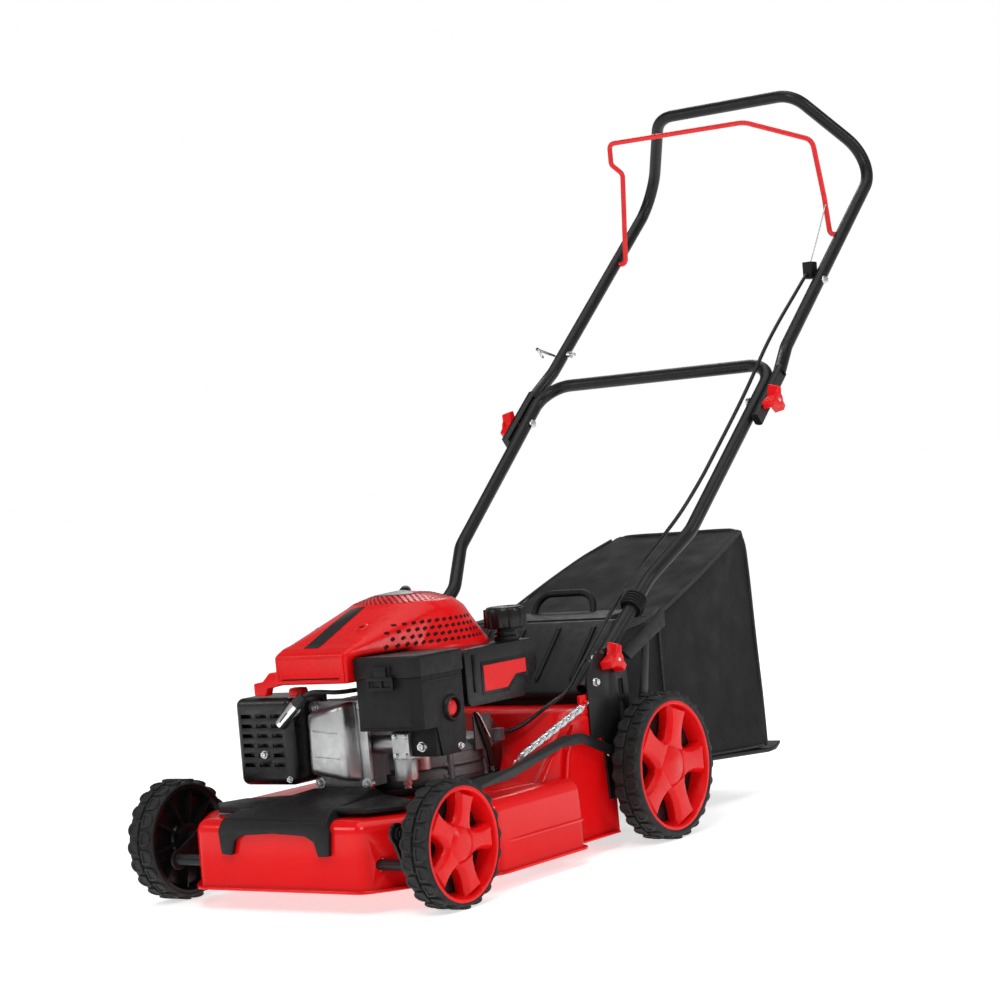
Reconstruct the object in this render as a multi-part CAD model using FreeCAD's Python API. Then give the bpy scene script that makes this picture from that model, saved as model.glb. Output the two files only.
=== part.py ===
"""A walk-behind petrol lawn mower with a 40 cm pressed-steel deck, as separate pieces.

Millimetres. +Z is up, the mower's front faces -Y and its left side is +X.
Every piece is drawn with the front wheels' axle at y = 0 and the ground at z = 0,
and save() moves it back by ORIGIN_Y, so that the origin is the middle of the
footprint on the ground.
"""
import FreeCAD, Part
import math
import os

V = FreeCAD.Vector
UP = V(0, 0, 1)
ACROSS = V(1, 0, 0)

# ---- driving dimensions -------------------------------------------------------------
ORIGIN_Y = 594.2                # from the front axle back to the middle of the mower

FRONT_TYRE_R = 77.0             # 6 inch wheel
REAR_TYRE_R = 99.0              # 8 inch wheel
FRONT_RIM_R = 67.0
REAR_RIM_R = 84.5
WHEEL_WIDTH = 41.0
WHEELBASE = 491.0
FRONT_TRACK_OUT = 240.0         # outer face of a front wheel from the middle plane
REAR_TRACK_OUT = 233.0
STUB_R = 6.0                    # wheel stub shafts
FIT = 0.05                      # radial clearance of a running fit

CRANK_R = 45.0                  # from the height pivot to the wheel centre
CRANK_REST = math.radians(25.0)  # the crank's tilt above level, at the lowest cut
PIVOT_R = 7.0                   # height pivot bars
LINK_ARM = 45.0                 # from the height pivot to the link's pin
ARM_X = (184.0, 188.0)          # the flat crank arms, between deck and wheels
LINK_X = (189.3, 191.6)         # the flat link bar beside the left arms
PIN_R = 4.0

DECK_T = 2.5
DECK_TOP = 112.0
DECK_FRONT = -62.0
DECK_REAR = 430.0
DECK_NARROW = 178.0             # half width beside the wheels
DECK_WIDE = 208.0               # half width around the blade
SKIRT_Z = 20.0                  # lower edge around the blade
FRONT_SKIRT_Z = 26.0            # lower edge at the front
TUNNEL_TOP = 192.0              # top of the discharge tunnel

ENGINE_Y = 225.0                # crankshaft axis
ENGINE_WELL_R = 114.0           # round recess in the deck that the engine stands in
BLADE_R = 198.0

TUBE_R = 9.5                    # handle tubes
TUBE_BORE = 8.0
BOLT_HOLE_R = 3.1               # for the handle's 6 mm bolts
LEG_LOW_X = 168.0               # lower legs, between the brackets
LEG_HIGH_X = 207.0
UPPER_X = 222.0                 # upper legs where they lap the lower ones
LAP_X = (216.2, 227.5)          # the flattened laps
FOLD_LOW = (392.0, 224.0)       # y, z of the lower fold axis
CLAMP_LOW = (428.0, 250.0)      # y, z of the lower knob's bolt
FOLD_HIGH = (836.0, 581.0)      # y, z of the upper fold axis
BRACKET_X = (178.0, 181.0)

BAIL_R = 4.0
BAIL_AXIS = (1138.0, 834.0)     # y, z of the bail's pivot
BAIL_X = 190.0

FLAP_AXIS = (420.0, 206.0)      # y, z of the rear flap's hinge

SPRING_X = 184.0
SPRING_LOW = (190.0, 147.0)     # y, z of the balance spring's hooks
SPRING_HIGH = (366.0, 200.0)
LEVER_X = (184.0, 188.0)
LEVER_KNEE = (500.0, 205.0)     # y, z where the height lever bends
LEVER_TIP = (512.0, 268.0)

CYLINDER_X = -10.0              # the cylinder's axis, pointing forward
CYLINDER_Z = 189.0
PISTON_R = 26.0
HEAD_BACK = 122.0               # y where the head meets the barrel
GUARD_X = (-152.0, -58.0)       # muffler guard
GUARD_Y = (50.0, 116.0)
GUARD_Z = (138.0, 250.0)
PLUG_OUT = (-65.0, 40.0, 217.0)  # ends of the spark plug's shield
PLUG_IN = (-36.0, 41.0, 243.0)
OIL_CAP_XY = (-54.0, 66.0)
CARB_X = (76.0, 102.0)
FILTER_X = (50.0, 143.0)        # air filter housing
FILTER_Y = (56.0, 151.0)
FILTER_Z = (205.0, 297.0)
LID_Z = 270.0                   # where the filter's lid starts
PRIMER = (125.0, 225.0)         # y, z of the primer button
TANK_X = (92.0, 134.0)
TANK_Y = (172.0, 329.0)
TANK_Z = (219.0, 292.0)
CAP_XY = (108.0, 302.0)
BRAKE_PIVOT = (240.0, 186.0)    # y, z
COVER_BOTTOM = 294.0            # lower edge of the engine cover's fan housing
COVER_TOP = 369.0
NOSE_X = (-71.0, 47.0)          # the cover's nose over the cylinder
NOSE_FRONT = 42.0
NOSE_BOTTOM = 265.0
GRIP_XY = (-66.0, 318.0)        # starter rope outlet

FLAP_HALF = 145.0
FLAP_RISE = math.radians(44.0)  # the flap's slope when it rests on the bag
BAG_FRONT_Y = 476.0

KNOB_R = 21.0
GUIDE = (962.0, 687.0)          # y, z of the rope guide's bolt
CABLE_R = 2.8


# ---- basic shapes -------------------------------------------------------------------
def block(x, y, z):
    """A box between two x, two y and two z values."""
    return Part.makeBox(x[1] - x[0], y[1] - y[0], z[1] - z[0], V(x[0], y[0], z[0]))


def rod(start, end, radius):
    """A round bar from one point to another."""
    line = V(*end) - V(*start)
    return Part.makeCylinder(radius, line.Length, V(*start), line)


def sleeve(start, end, outer, inner):
    """A round bar with a hole right through it."""
    return rod(start, end, outer).cut(rod(start, end, inner))


def prism(points, sweep):
    """A closed polygon of 3-D points, pushed along a vector."""
    corners = [V(*p) for p in points]
    face = Part.Face(Part.makePolygon(corners + corners[:1]))
    return face.extrude(V(*sweep))


def side_plate(points, x):
    """A polygon of (y, z) points between two x values."""
    return prism([(x[0], y, z) for y, z in points], (x[1] - x[0], 0, 0))


def flat_plate(points, z):
    """A polygon of (x, y) points between two z values."""
    return prism([(px, py, z[0]) for px, py in points], (0, 0, z[1] - z[0]))


def join(shapes):
    """One solid made of several that meet."""
    first, rest = shapes[0], shapes[1:]
    return first.fuse(rest).removeSplitter() if rest else first


def mirrored(shape):
    """The same shape on the other side of the middle plane."""
    return shape.mirror(V(0, 0, 0), ACROSS)


def both_sides(shape):
    """A left shape and its mirror image, as a list."""
    return [shape, mirrored(shape)]


def rounded(shape, radius, wanted):
    """Fillets the edges whose middle point satisfies wanted(point, edge)."""
    edges = [e for e in shape.Edges if wanted(e.CenterOfMass, e)]
    return shape.makeFillet(radius, edges)


def along_x(edge):
    """True for a straight edge that runs across the mower."""
    ends = edge.Vertexes
    if len(ends) != 2 or not isinstance(edge.Curve, Part.Line):
        return False
    run = ends[1].Point - ends[0].Point
    return abs(run.y) + abs(run.z) < 1e-6


def turned(profile, centre, axis):
    """A closed (radius, distance) outline turned about an axis along X."""
    cx, cy, cz = centre
    points = [V(cx + along, cy, cz + radius) for radius, along in profile]
    face = Part.Face(Part.makePolygon(points + points[:1]))
    return face.revolve(V(cx, cy, cz), axis, 360)


def turned_up(profile, centre):
    """A closed (radius, height) outline turned about a vertical axis."""
    points = [V(centre[0] + radius, centre[1], height) for radius, height in profile]
    face = Part.Face(Part.makePolygon(points + points[:1]))
    return face.revolve(V(centre[0], centre[1], 0), UP, 360)


# ---- bent tubes and cables ----------------------------------------------------------
def bent_line(points, radii):
    """Straight runs joined by tangent arcs, one radius for each inner point."""
    points = [V(*p) for p in points]
    edges = []
    start = points[0]
    for before, corner, after, radius in zip(points, points[1:], points[2:], radii):
        back = (before - corner).normalize()
        ahead = (after - corner).normalize()
        half = back.getAngle(ahead) / 2
        reach = radius / math.tan(half)
        first = corner + back * reach
        last = corner + ahead * reach
        middle = (back + ahead).normalize()
        crown = corner + middle * (radius / math.sin(half) - radius)
        edges.append(Part.LineSegment(start, first).toShape())
        edges.append(Part.Arc(first, crown, last).toShape())
        start = last
    edges.append(Part.LineSegment(start, points[-1]).toShape())
    return Part.Wire(edges)


def swept(path, radius):
    """A round bar along a bent line."""
    start = path.Edges[0]
    point = start.valueAt(start.FirstParameter)
    direction = start.tangentAt(start.FirstParameter)
    circle = Part.Wire(Part.makeCircle(radius, point, direction))
    return path.makePipeShell([circle], True, False)


def tube(points, radii, outer, bore):
    """A bent tube with an open bore."""
    path = bent_line(points, radii)
    return swept(path, outer).cut(swept(path, bore))


def cable_radii(points):
    """The largest arcs that the runs of a cable leave room for."""
    points = [V(*p) for p in points]
    radii = []
    for before, corner, after in zip(points, points[1:], points[2:]):
        shorter = min((corner - before).Length, (after - corner).Length)
        turn = math.pi - (before - corner).getAngle(after - corner)
        radii.append(0.45 * shorter / math.tan(turn / 2))
    return radii


def cable(name, points, radius):
    """A cable that is held all the way along its route."""
    radii = cable_radii(points)
    print(name, "bend radii", [round(r, 1) for r in radii])
    path = bent_line(points, radii)
    solid = swept(path, radius)
    print(name, "length", round(path.Length, 1), "volume ratio",
          round(solid.Volume / (math.pi * radius ** 2 * path.Length), 4))
    return solid


# ---- places that several pieces share -----------------------------------------------
def crank_offset():
    """From a height pivot to its wheel centre, as (y, z)."""
    return CRANK_R * math.cos(CRANK_REST), CRANK_R * math.sin(CRANK_REST)


def front_pivot():
    """The front height pivot, as (y, z)."""
    dy, dz = crank_offset()
    return 0.0 - dy, FRONT_TYRE_R - dz


def rear_pivot():
    """The rear height pivot, as (y, z)."""
    dy, dz = crank_offset()
    return WHEELBASE - dy, REAR_TYRE_R - dz


def link_pin(pivot):
    """The link's pin above a height pivot, turned with the crank."""
    return (pivot[0] - LINK_ARM * math.sin(CRANK_REST),
            pivot[1] + LINK_ARM * math.cos(CRANK_REST))


# ---- deck ---------------------------------------------------------------------------
def deck_outline():
    """The deck seen from above: cut front corners, a bulge round the blade, a narrow tail."""
    corners = [(0, DECK_FRONT, 0), (131, DECK_FRONT, 0), (DECK_NARROW, 6, 0), (DECK_NARROW, 62, 0),
               (DECK_WIDE, 112, 0), (DECK_WIDE, 296, 0), (DECK_NARROW, 312, 0),
               (DECK_NARROW, DECK_REAR, 0), (0, DECK_REAR, 0)]
    half = bent_line(corners, [18, 24, 30, 30, 14, 14, 8])
    return Part.Wire(Part.__sortEdges__(half.Edges + mirrored(half).Edges))


def deck_plan(grow):
    """The deck's plan face, grown or shrunk by a distance."""
    return Part.Face(deck_outline()).makeOffset2D(grow)


def tunnel_block(inset):
    """The discharge tunnel behind the engine, as a solid smaller by inset."""
    half = DECK_NARROW - inset
    outline = [(236 + 1.4 * inset, 60), (236 + 1.4 * inset, 100), (330 + 0.4 * inset, TUNNEL_TOP - inset),
               (DECK_REAR - inset, TUNNEL_TOP - inset), (DECK_REAR - inset, 60)]
    body = side_plate(outline, (-half, half))
    body = rounded(body, 14 - inset, lambda c, e: abs(abs(c.x) - half) < 0.1 and c.z > 120)
    return body.cut(rod((0, ENGINE_Y, DECK_TOP - inset), (0, ENGINE_Y, 300), ENGINE_WELL_R + inset))


def deck_body(inset, bottom):
    """The deck as a solid block, smaller by inset all round."""
    pan = deck_plan(-inset).extrude(V(0, 0, DECK_TOP - inset - bottom))
    pan.translate(V(0, 0, bottom))
    top = DECK_TOP - inset
    pan = rounded(pan, 16 - inset, lambda c, e: abs(c.z - top) < 0.1 and c.y < DECK_REAR - 10)
    return pan.fuse(tunnel_block(inset))


def skirt_lip(z, keep):
    """The flange turned out along the deck's lower edge."""
    thick = 2.5
    ring = deck_plan(5.5).extrude(V(0, 0, thick)).cut(deck_plan(-DECK_T).extrude(V(0, 0, thick)))
    ring.translate(V(0, 0, z))
    return ring.common(keep)


def deck_shell():
    """The pressed deck: pan, discharge tunnel, turned-out lip and the spring's tab."""
    front_half = block((-300, 300), (-200, 40), (0, 60))
    back_half = block((-300, 300), (40, DECK_REAR - 12), (0, 60))
    shell = deck_body(0, SKIRT_Z).cut(deck_body(DECK_T, SKIRT_Z - 5))
    shell = shell.cut(block((-300, 300), (-200, 40), (0, FRONT_SKIRT_Z)))
    shell = shell.fuse([skirt_lip(FRONT_SKIRT_Z, front_half), skirt_lip(SKIRT_Z, back_half)])
    shaft_hole = rod((0, ENGINE_Y, 60), (0, ENGINE_Y, 130), 50)
    mouth = block((-125, 125), (DECK_REAR - 10, DECK_REAR + 10), (106, 180))
    y, z = front_pivot()
    bar_hole = rod((-220, y, z), (220, y, z), PIVOT_R + 0.3)
    tab = block((174, 178), (356, 376), (185, 210))
    shell = shell.fuse(tab).cut([shaft_hole, mouth, bar_hole])
    y, z = SPRING_HIGH
    anchor = rod((174, y, z), (SPRING_X - 1.5, y, z), 3)
    return shell.fuse(anchor).removeSplitter()


def front_trim():
    """The plastic cover over the deck's front edge, with two legs down the front."""
    front = DECK_FRONT - 6
    right_half = [(0, front + 18), (86, front + 18), (118, -32), (151, 2), (138, 42),
                  (60, 84), (0, 84)]
    left_half = [(-x, y) for x, y in reversed(right_half[1:-1])]
    top = flat_plate(right_half + left_half, (DECK_TOP, DECK_TOP + 7))
    brow = block((-86, 86), (front, DECK_FRONT + 14), (91, DECK_TOP + 7))
    brow = rounded(brow, 5, lambda c, e: along_x(e) and c.y < DECK_FRONT and c.z > DECK_TOP)
    legs = both_sides(block((60, 84), (front, DECK_FRONT - 0.2), (64, 95)))
    trim = join([top, brow] + legs)
    return trim.cut(deck_body(0, SKIRT_Z))


def bracket():
    """The left side plate that carries the rear height pivot and the handle."""
    plate = side_plate([(372, 150), (372, 232), (398, 262), (440, 270), (468, 240), (480, 120),
                        (476, 66), (405, 66), (400, 150)], BRACKET_X)
    y, z = rear_pivot()
    hole = rod((170, y, z), (190, y, z), PIVOT_R + 0.3)
    slots = [block((170, 190), (446, 458), (168, 190)), block((170, 190), (446, 458), (200, 222))]
    axle = rod((158, FOLD_LOW[0], FOLD_LOW[1]), (BRACKET_X[0], FOLD_LOW[0], FOLD_LOW[1]), PIN_R)
    return plate.cut([hole, clamp_slot()] + slots).fuse(axle)


def clamp_slot():
    """The curved slot, open at the top, that the lower clamp bolt leaves by when the handle folds."""
    y, z = FOLD_LOW
    reach = math.hypot(CLAMP_LOW[0] - y, CLAMP_LOW[1] - z)
    start = math.atan2(CLAMP_LOW[1] - z, CLAMP_LOW[0] - y)
    ring = sleeve((170, y, z), (190, y, z), reach + 3.3, reach - 3.3)
    sweep = 0.9
    sector = [(y, z)]
    for turn in (start, start + sweep):
        sector.append((y + 80 * math.cos(turn), z + 80 * math.sin(turn)))
    seat = rod((170, CLAMP_LOW[0], CLAMP_LOW[1]), (190, CLAMP_LOW[0], CLAMP_LOW[1]), 3.3)
    return ring.common(side_plate(sector, (170, 190))).fuse(seat)


# ---- wheels and height adjustment ---------------------------------------------------
def tyre(radius, rim, centre, side):
    """A solid rubber tyre with rounded shoulders, sitting in the rim's channel."""
    half = WHEEL_WIDTH / 2
    profile = [(rim, -half + 4), (rim, half - 4), (rim + 3, half - 0.5), (radius - 4, half),
               (radius, half - 6), (radius, -half + 6), (radius - 4, -half), (rim + 3, -half + 0.5)]
    middle = (centre[0] - side * half, centre[1], centre[2])
    return turned(profile, middle, ACROSS)


def rim(radius, centre, side):
    """A one-piece plastic rim: barrel, five spokes and a hub that runs on the stub."""
    half = WHEEL_WIDTH / 2
    wall = 5.0
    hub = 0.33 * radius
    barrel = turned([(radius, -half + 4), (radius, half - 4), (radius + 2.5, half - 1),
                     (radius - wall, half - 1), (radius - wall, -half + 1), (radius + 2.5, -half + 1)],
                    (0, 0, 0), ACROSS)
    boss = rod((-half + 1, 0, 0), (half - 3, 0, 0), hub)
    spokes = [spoke(hub, radius, half, wall, turn) for turn in range(5)]
    wheel = join([barrel, boss] + spokes)
    wheel = wheel.cut(rod((-half, 0, 0), (half - 8, 0, 0), STUB_R + FIT))
    if side < 0:
        wheel = mirrored(wheel)
    wheel.translate(V(centre[0] - side * half, centre[1], centre[2]))
    return wheel


def spoke(hub, radius, half, wall, turn):
    """One spoke, wider at its foot and its root than in the middle."""
    reach = radius - wall + 1
    bar = flat_spoke(hub, reach, half)
    bar.rotate(V(0, 0, 0), ACROSS, 90 - 72 * turn)
    return bar


def flat_spoke(hub, reach, half):
    """A spoke that points along Y, before it is turned to its place."""
    waist = 0.19 * reach
    foot = 0.30 * reach
    return side_plate([(-foot, hub * 0.7), (-waist, hub * 1.25), (-waist, reach * 0.72),
                       (-foot, reach), (foot, reach), (waist, reach * 0.72),
                       (waist, hub * 1.25), (foot, hub * 0.7)], (half - 20, half - 5))


def crank_arm(pivot, centre, x):
    """A flat bar with round ends, from the height pivot to the wheel stub."""
    flat = [rod((x[0], pivot[0], pivot[1]), (x[1], pivot[0], pivot[1]), 13),
            rod((x[0], centre[0], centre[1]), (x[1], centre[0], centre[1]), 13)]
    dy, dz = centre[0] - pivot[0], centre[1] - pivot[1]
    size = math.hypot(dy, dz)
    ny, nz = -dz / size * 11, dy / size * 11
    web = side_plate([(pivot[0] + ny, pivot[1] + nz), (centre[0] + ny, centre[1] + nz),
                      (centre[0] - ny, centre[1] - nz), (pivot[0] - ny, pivot[1] - nz)], x)
    return join(flat + [web])


def height_axle(pivot, wheel_z, track_out):
    """A height pivot bar with a crank arm and a wheel stub at each end."""
    centre = (pivot[0] + crank_offset()[0], wheel_z)
    bar = rod((-ARM_X[1], pivot[0], pivot[1]), (ARM_X[1], pivot[0], pivot[1]), PIVOT_R)
    stub_end = track_out - 9.0
    stub = rod((ARM_X[0], centre[0], centre[1]), (stub_end, centre[0], centre[1]), STUB_R)
    arm = crank_arm(pivot, centre, ARM_X)
    shoulder = rod((ARM_X[0], centre[0], centre[1]),
                   (track_out - WHEEL_WIDTH + 0.5, centre[0], centre[1]), 10)
    pin = link_pin(pivot)
    link_arm = crank_arm(pivot, pin, ARM_X)
    peg = rod((ARM_X[0], pin[0], pin[1]), (LINK_X[1] + 2.0, pin[0], pin[1]), PIN_R)
    return join([bar, link_arm, peg] + both_sides(join([arm, stub, shoulder])))


def height_link():
    """The flat bar that makes both axles turn together, arched over the deck's side."""
    front = link_pin(front_pivot())
    rear = link_pin(rear_pivot())
    half = 7.0
    centre_line = [front, (90, 133), (171, 136), (290, 159), (336, 157), rear]
    top = [(y, z + half) for y, z in centre_line]
    bottom = [(y, z - half) for y, z in reversed(centre_line)]
    bar = side_plate(top + bottom, LINK_X)
    ends = [rod((LINK_X[0], y, z), (LINK_X[1], y, z), half + 1) for y, z in (front, rear)]
    holes = [rod((LINK_X[0] - 1, y, z), (LINK_X[1] + 1, y, z), PIN_R + FIT) for y, z in (front, rear)]
    return join([bar] + ends).cut(holes)


def height_spring():
    """The balance spring, as the closed sleeve of its coils with a hook at each end."""
    x = SPRING_X
    low = V(x, SPRING_LOW[0], SPRING_LOW[1])
    high = V(x, SPRING_HIGH[0], SPRING_HIGH[1])
    line = (high - low).normalize()
    start = low + line * 16
    end = high - line * 20
    coils = sleeve(tuple(start), tuple(end), 4.8, 3.2)
    hooks = [rod(tuple(low), tuple(start + line * 3), 1.4), rod(tuple(end - line * 3), tuple(high), 1.4)]
    caps = [rod(tuple(start), tuple(start + line * 2), 4.8), rod(tuple(end - line * 2), tuple(end), 4.8)]
    return join([coils] + hooks + caps)


def height_lever():
    """The flat steel lever welded to the rear height bar."""
    y, z = rear_pivot()
    bar = side_plate([(y - 8, z), (y + 10, z - 6), (LEVER_KNEE[0] + 9, LEVER_KNEE[1]),
                      (LEVER_TIP[0] + 9, LEVER_TIP[1] - 4), (LEVER_TIP[0] - 5, LEVER_TIP[1]),
                      (LEVER_KNEE[0] - 8, LEVER_KNEE[1])], LEVER_X)
    return bar.cut(height_axle(rear_pivot(), REAR_TYRE_R, REAR_TRACK_OUT))


def lever_grip():
    """The plastic paddle on the height lever."""
    paddle = side_plate([(452, 257), (552, 307), (560, 300), (560, 282), (466, 246)], (183.2, 191.4))
    paddle = rounded(paddle, 2.0, lambda c, e: along_x(e))
    return paddle.cut(height_lever())


# ---- blade and engine ---------------------------------------------------------------
def blade():
    """A flat 40 cm blade with turned-up wings at its trailing edges."""
    half = 26.0
    bar = flat_plate([(-BLADE_R + 70, ENGINE_Y - half), (BLADE_R - 4, ENGINE_Y - half),
                      (BLADE_R - 4, ENGINE_Y + 8), (BLADE_R - 70, ENGINE_Y + half),
                      (-BLADE_R + 4, ENGINE_Y + half), (-BLADE_R + 4, ENGINE_Y - 8)], (38, 41.5))
    wing = side_plate([(ENGINE_Y + half - 4, 38), (ENGINE_Y + half, 38), (ENGINE_Y + half + 8, 52),
                       (ENGINE_Y + half + 5, 53)], (-BLADE_R + 20, -BLADE_R + 70))
    far = wing.copy()
    far.rotate(V(0, ENGINE_Y, 0), UP, 180)
    return join([bar, wing, far]).cut(rod((0, ENGINE_Y, 30), (0, ENGINE_Y, 60), 5.0))


def blade_bolt():
    """The flanged bolt that clamps the blade to the crankshaft."""
    outline = [(0, 28), (9, 28), (9, 36), (14, 36), (14, 38), (4.9, 38), (4.9, 60), (0, 60)]
    return turned_up(outline, (0, ENGINE_Y))


def crankshaft():
    """The vertical shaft, its flanged blade carrier and its crank web."""
    outline = [(5, 41.5), (22, 41.5), (22, 52), (14, 56), (14, 100), (12, 106), (12, 176),
               (32, 176), (32, 202), (12, 202), (12, 322), (0, 322), (0, 60), (5, 60)]
    return turned_up(outline, (0, ENGINE_Y))


def flywheel():
    """The fan flywheel under the cover: a disc, a rim and its blades."""
    disc = turned_up([(12, 300), (84, 300), (84, 306), (12, 306)], (0, ENGINE_Y))
    hub = turned_up([(12, 270), (24, 270), (24, 318), (12, 318)], (0, ENGINE_Y))
    vanes = []
    for step in range(12):
        vane = block((34, 82), (ENGINE_Y - 1.5, ENGINE_Y + 1.5), (305, 322))
        vane.rotate(V(0, ENGINE_Y, 0), UP, 30 * step)
        vanes.append(vane)
    return join([disc, hub] + vanes)


def engine_base():
    """The black mounting flange under the crankcase."""
    return turned_up([(52, DECK_TOP), (108, DECK_TOP), (110, 116), (110, 122), (52, 122)], (0, ENGINE_Y))


def crankcase():
    """The aluminium crankcase with its cylinder barrel pointing forward."""
    case = turned_up([(0, 122), (94, 122), (94, 138), (91, 141), (94, 144), (94, 164), (88, 172),
                      (64, 176), (60, 262), (0, 262)], (0, ENGINE_Y))
    barrel = block((CYLINDER_X - 37, CYLINDER_X + 37), (HEAD_BACK, ENGINE_Y - 40), (140, 238))
    body = join([case, barrel])
    fin_y = [128, 135, 142, 149, 156]
    chamber = rod((0, ENGINE_Y, 160), (0, ENGINE_Y, 220), 44)
    bore = rod((CYLINDER_X, HEAD_BACK - 5, CYLINDER_Z), (CYLINDER_X, ENGINE_Y, CYLINDER_Z), PISTON_R + FIT)
    shaft = rod((0, ENGINE_Y, 100), (0, ENGINE_Y, 280), 12 + FIT)
    fins = [block((CYLINDER_X - 40, CYLINDER_X - 31), (y, y + 3), (135, 245)) for y in fin_y]
    return body.cut([chamber, bore, shaft] + fins)


def piston():
    """The piston on its cylinder axis, half way along its stroke."""
    crown = rod((CYLINDER_X, 143, CYLINDER_Z), (CYLINDER_X, 171, CYLINDER_Z), PISTON_R)
    skirt = rod((CYLINDER_X, 149, CYLINDER_Z), (CYLINDER_X, 172, CYLINDER_Z), PISTON_R - 4)
    pin = rod((CYLINDER_X - 25, 157, CYLINDER_Z), (CYLINDER_X + 25, 157, CYLINDER_Z), 5)
    return crown.cut(skirt).fuse(pin)


def cylinder_head():
    """The finned head between the barrel and the valve cover."""
    body = block((CYLINDER_X - 40, CYLINDER_X + 42), (92, HEAD_BACK), (131, 240))
    cuts = [block((CYLINDER_X - 41, CYLINDER_X - 28), (y, y + 3), (130, 242)) for y in (98, 105, 112)]
    riser = rod((-45, 104, 232), (-45, 104, 250.2), 4)
    filler = rod((-45, 104, 246.2), (OIL_CAP_XY[0] + 2, OIL_CAP_XY[1], 246.2), 4)
    return join([body.cut(cuts), riser, filler])


def valve_cover():
    """The pressed cover on the head: a flange and a tall rounded dome."""
    flange = block((CYLINDER_X - 43, CYLINDER_X + 46), (86, 92), (128, 241))
    flange = rounded(flange, 10, lambda c, e: abs(c.y - 89) < 0.1)
    dome = block((CYLINDER_X - 31, CYLINDER_X + 28), (60, 87), (149, 229))
    dome = rounded(dome, 7, lambda c, e: c.y < 80)
    return join([flange, dome])


def muffler():
    """The exhaust box and its pipe to the head."""
    box = block((GUARD_X[0] + 8, GUARD_X[1] - 6), (GUARD_Y[0] + 9, GUARD_Y[1] - 2),
                (GUARD_Z[0] + 9, GUARD_Z[1] - 9))
    box = rounded(box, 8, lambda c, e: True)
    pipe = rod((GUARD_X[1] - 8, 104, CYLINDER_Z - 10), (CYLINDER_X - 40, 104, CYLINDER_Z - 10), 9)
    return join([box, pipe])


def muffler_guard():
    """The pressed heat guard, open behind, with rows of slots in its face."""
    outer = block(GUARD_X, GUARD_Y, GUARD_Z)
    outer = rounded(outer, 10, lambda c, e: c.y < GUARD_Y[1] - 5)
    wall = 2.0
    inner = block((GUARD_X[0] + wall, GUARD_X[1] - wall), (GUARD_Y[0] + wall, GUARD_Y[1] + 5),
                  (GUARD_Z[0] + wall, GUARD_Z[1] - wall))
    inner = rounded(inner, 8, lambda c, e: c.y < GUARD_Y[1])
    slots = []
    for row in range(6):
        z = GUARD_Z[0] + 24 + 12.5 * row
        for column in range(3):
            x = GUARD_X[0] + 11 + 25 * column
            slots.append(block((x, x + 18), (GUARD_Y[0] - 1, GUARD_Y[0] + 4), (z, z + 5)))
    pipe_gap = block((GUARD_X[1] - 5, GUARD_X[1] + 5), (90, GUARD_Y[1] + 5),
                     (CYLINDER_Z - 22, CYLINDER_Z + 2))
    return outer.cut(inner).cut(slots + [pipe_gap])


def spark_plug():
    """The plug with the bright shield that covers it."""
    return rod(PLUG_OUT, PLUG_IN, 8.5)


def plug_lead():
    """The rubber boot and the lead that runs back under the cover."""
    line = (V(*PLUG_IN) - V(*PLUG_OUT)).normalize()
    boot = rod(PLUG_IN, tuple(V(*PLUG_IN) + line * 14), 7)
    lead = swept(bent_line([tuple(V(*PLUG_IN) + line * 12), (-20, 46, 257), (8, 70, 253), (20, 120, 253),
                            (10, 161, 253)], [8, 16, 30]), 3)
    return join([boot, lead])


def oil_cap():
    """The filler plug that is turned out of the head's oil pipe."""
    outline = [(0, 250.5), (11, 250.5), (12, 252), (12, 259), (10, 261.5), (0, 261.5)]
    return turned_up(outline, OIL_CAP_XY)


def cover_body(inset):
    """The engine cover as a solid: a round fan housing with a sloping nose in front."""
    bottom = COVER_BOTTOM - (10 if inset else 0)
    profile = [(0, bottom), (111 - inset, bottom), (111 - inset, COVER_BOTTOM), (87 - inset, 332),
               (73 - inset, 359 - inset / 2), (48, COVER_TOP - 2 - inset), (0, COVER_TOP - inset)]
    drum = turned_up(profile, (0, ENGINE_Y))
    low = NOSE_BOTTOM - (10 if inset else 0)
    front = NOSE_FRONT + inset
    nose = side_plate([(front, low), (front, 306 - inset), (62, 314 - inset), (85, 331 - inset),
                       (150, 353 - inset), (ENGINE_Y, 360 - inset), (ENGINE_Y, low)],
                      (NOSE_X[0] + inset, NOSE_X[1] - inset))
    shoulder = flat_plate([(NOSE_X[1] - inset - 1, 154), (84 - inset, 172), (84 - inset, ENGINE_Y),
                           (-84 + inset, ENGINE_Y), (-84 + inset, 150), (NOSE_X[0] + inset + 1, 80)],
                          (bottom, 318 - inset))
    return drum.fuse([nose, shoulder])


def engine_cover():
    """The moulded top cover: fan housing, nose, beak tab and rope outlet."""
    shell = cover_body(0).cut(cover_body(2.5))
    below = block((-120, 120), (128, 400), (NOSE_BOTTOM - 5, COVER_BOTTOM))
    over_lid = block((FILTER_X[0] - 4, FILTER_X[1] + 4), (FILTER_Y[0] - 4, FILTER_Y[1] + 3),
                     (250, FILTER_Z[1] + 2))
    shell = shell.cut([below, over_lid])
    beak = block((-115, NOSE_X[0] - 0.1), (50, 62), (253, 270))
    beak = beak.fuse(block((-100, NOSE_X[0] + 1), (52, 70), (266, 284)))
    return join([shell, beak, rope_outlet()])


def rope_outlet():
    """The round turret on the fan housing that the starter rope comes out of."""
    x, y = GRIP_XY
    turret = rod((x, y, COVER_BOTTOM), (x, y, 326), 12)
    foot = block((x, x + 26), (y - 28, y - 3), (COVER_BOTTOM, 304))
    rope_hole = rod((x, y, 280), (x, y, 330), 3.5)
    return turret.fuse(foot).cut([cover_body(1.0), rope_hole])


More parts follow.
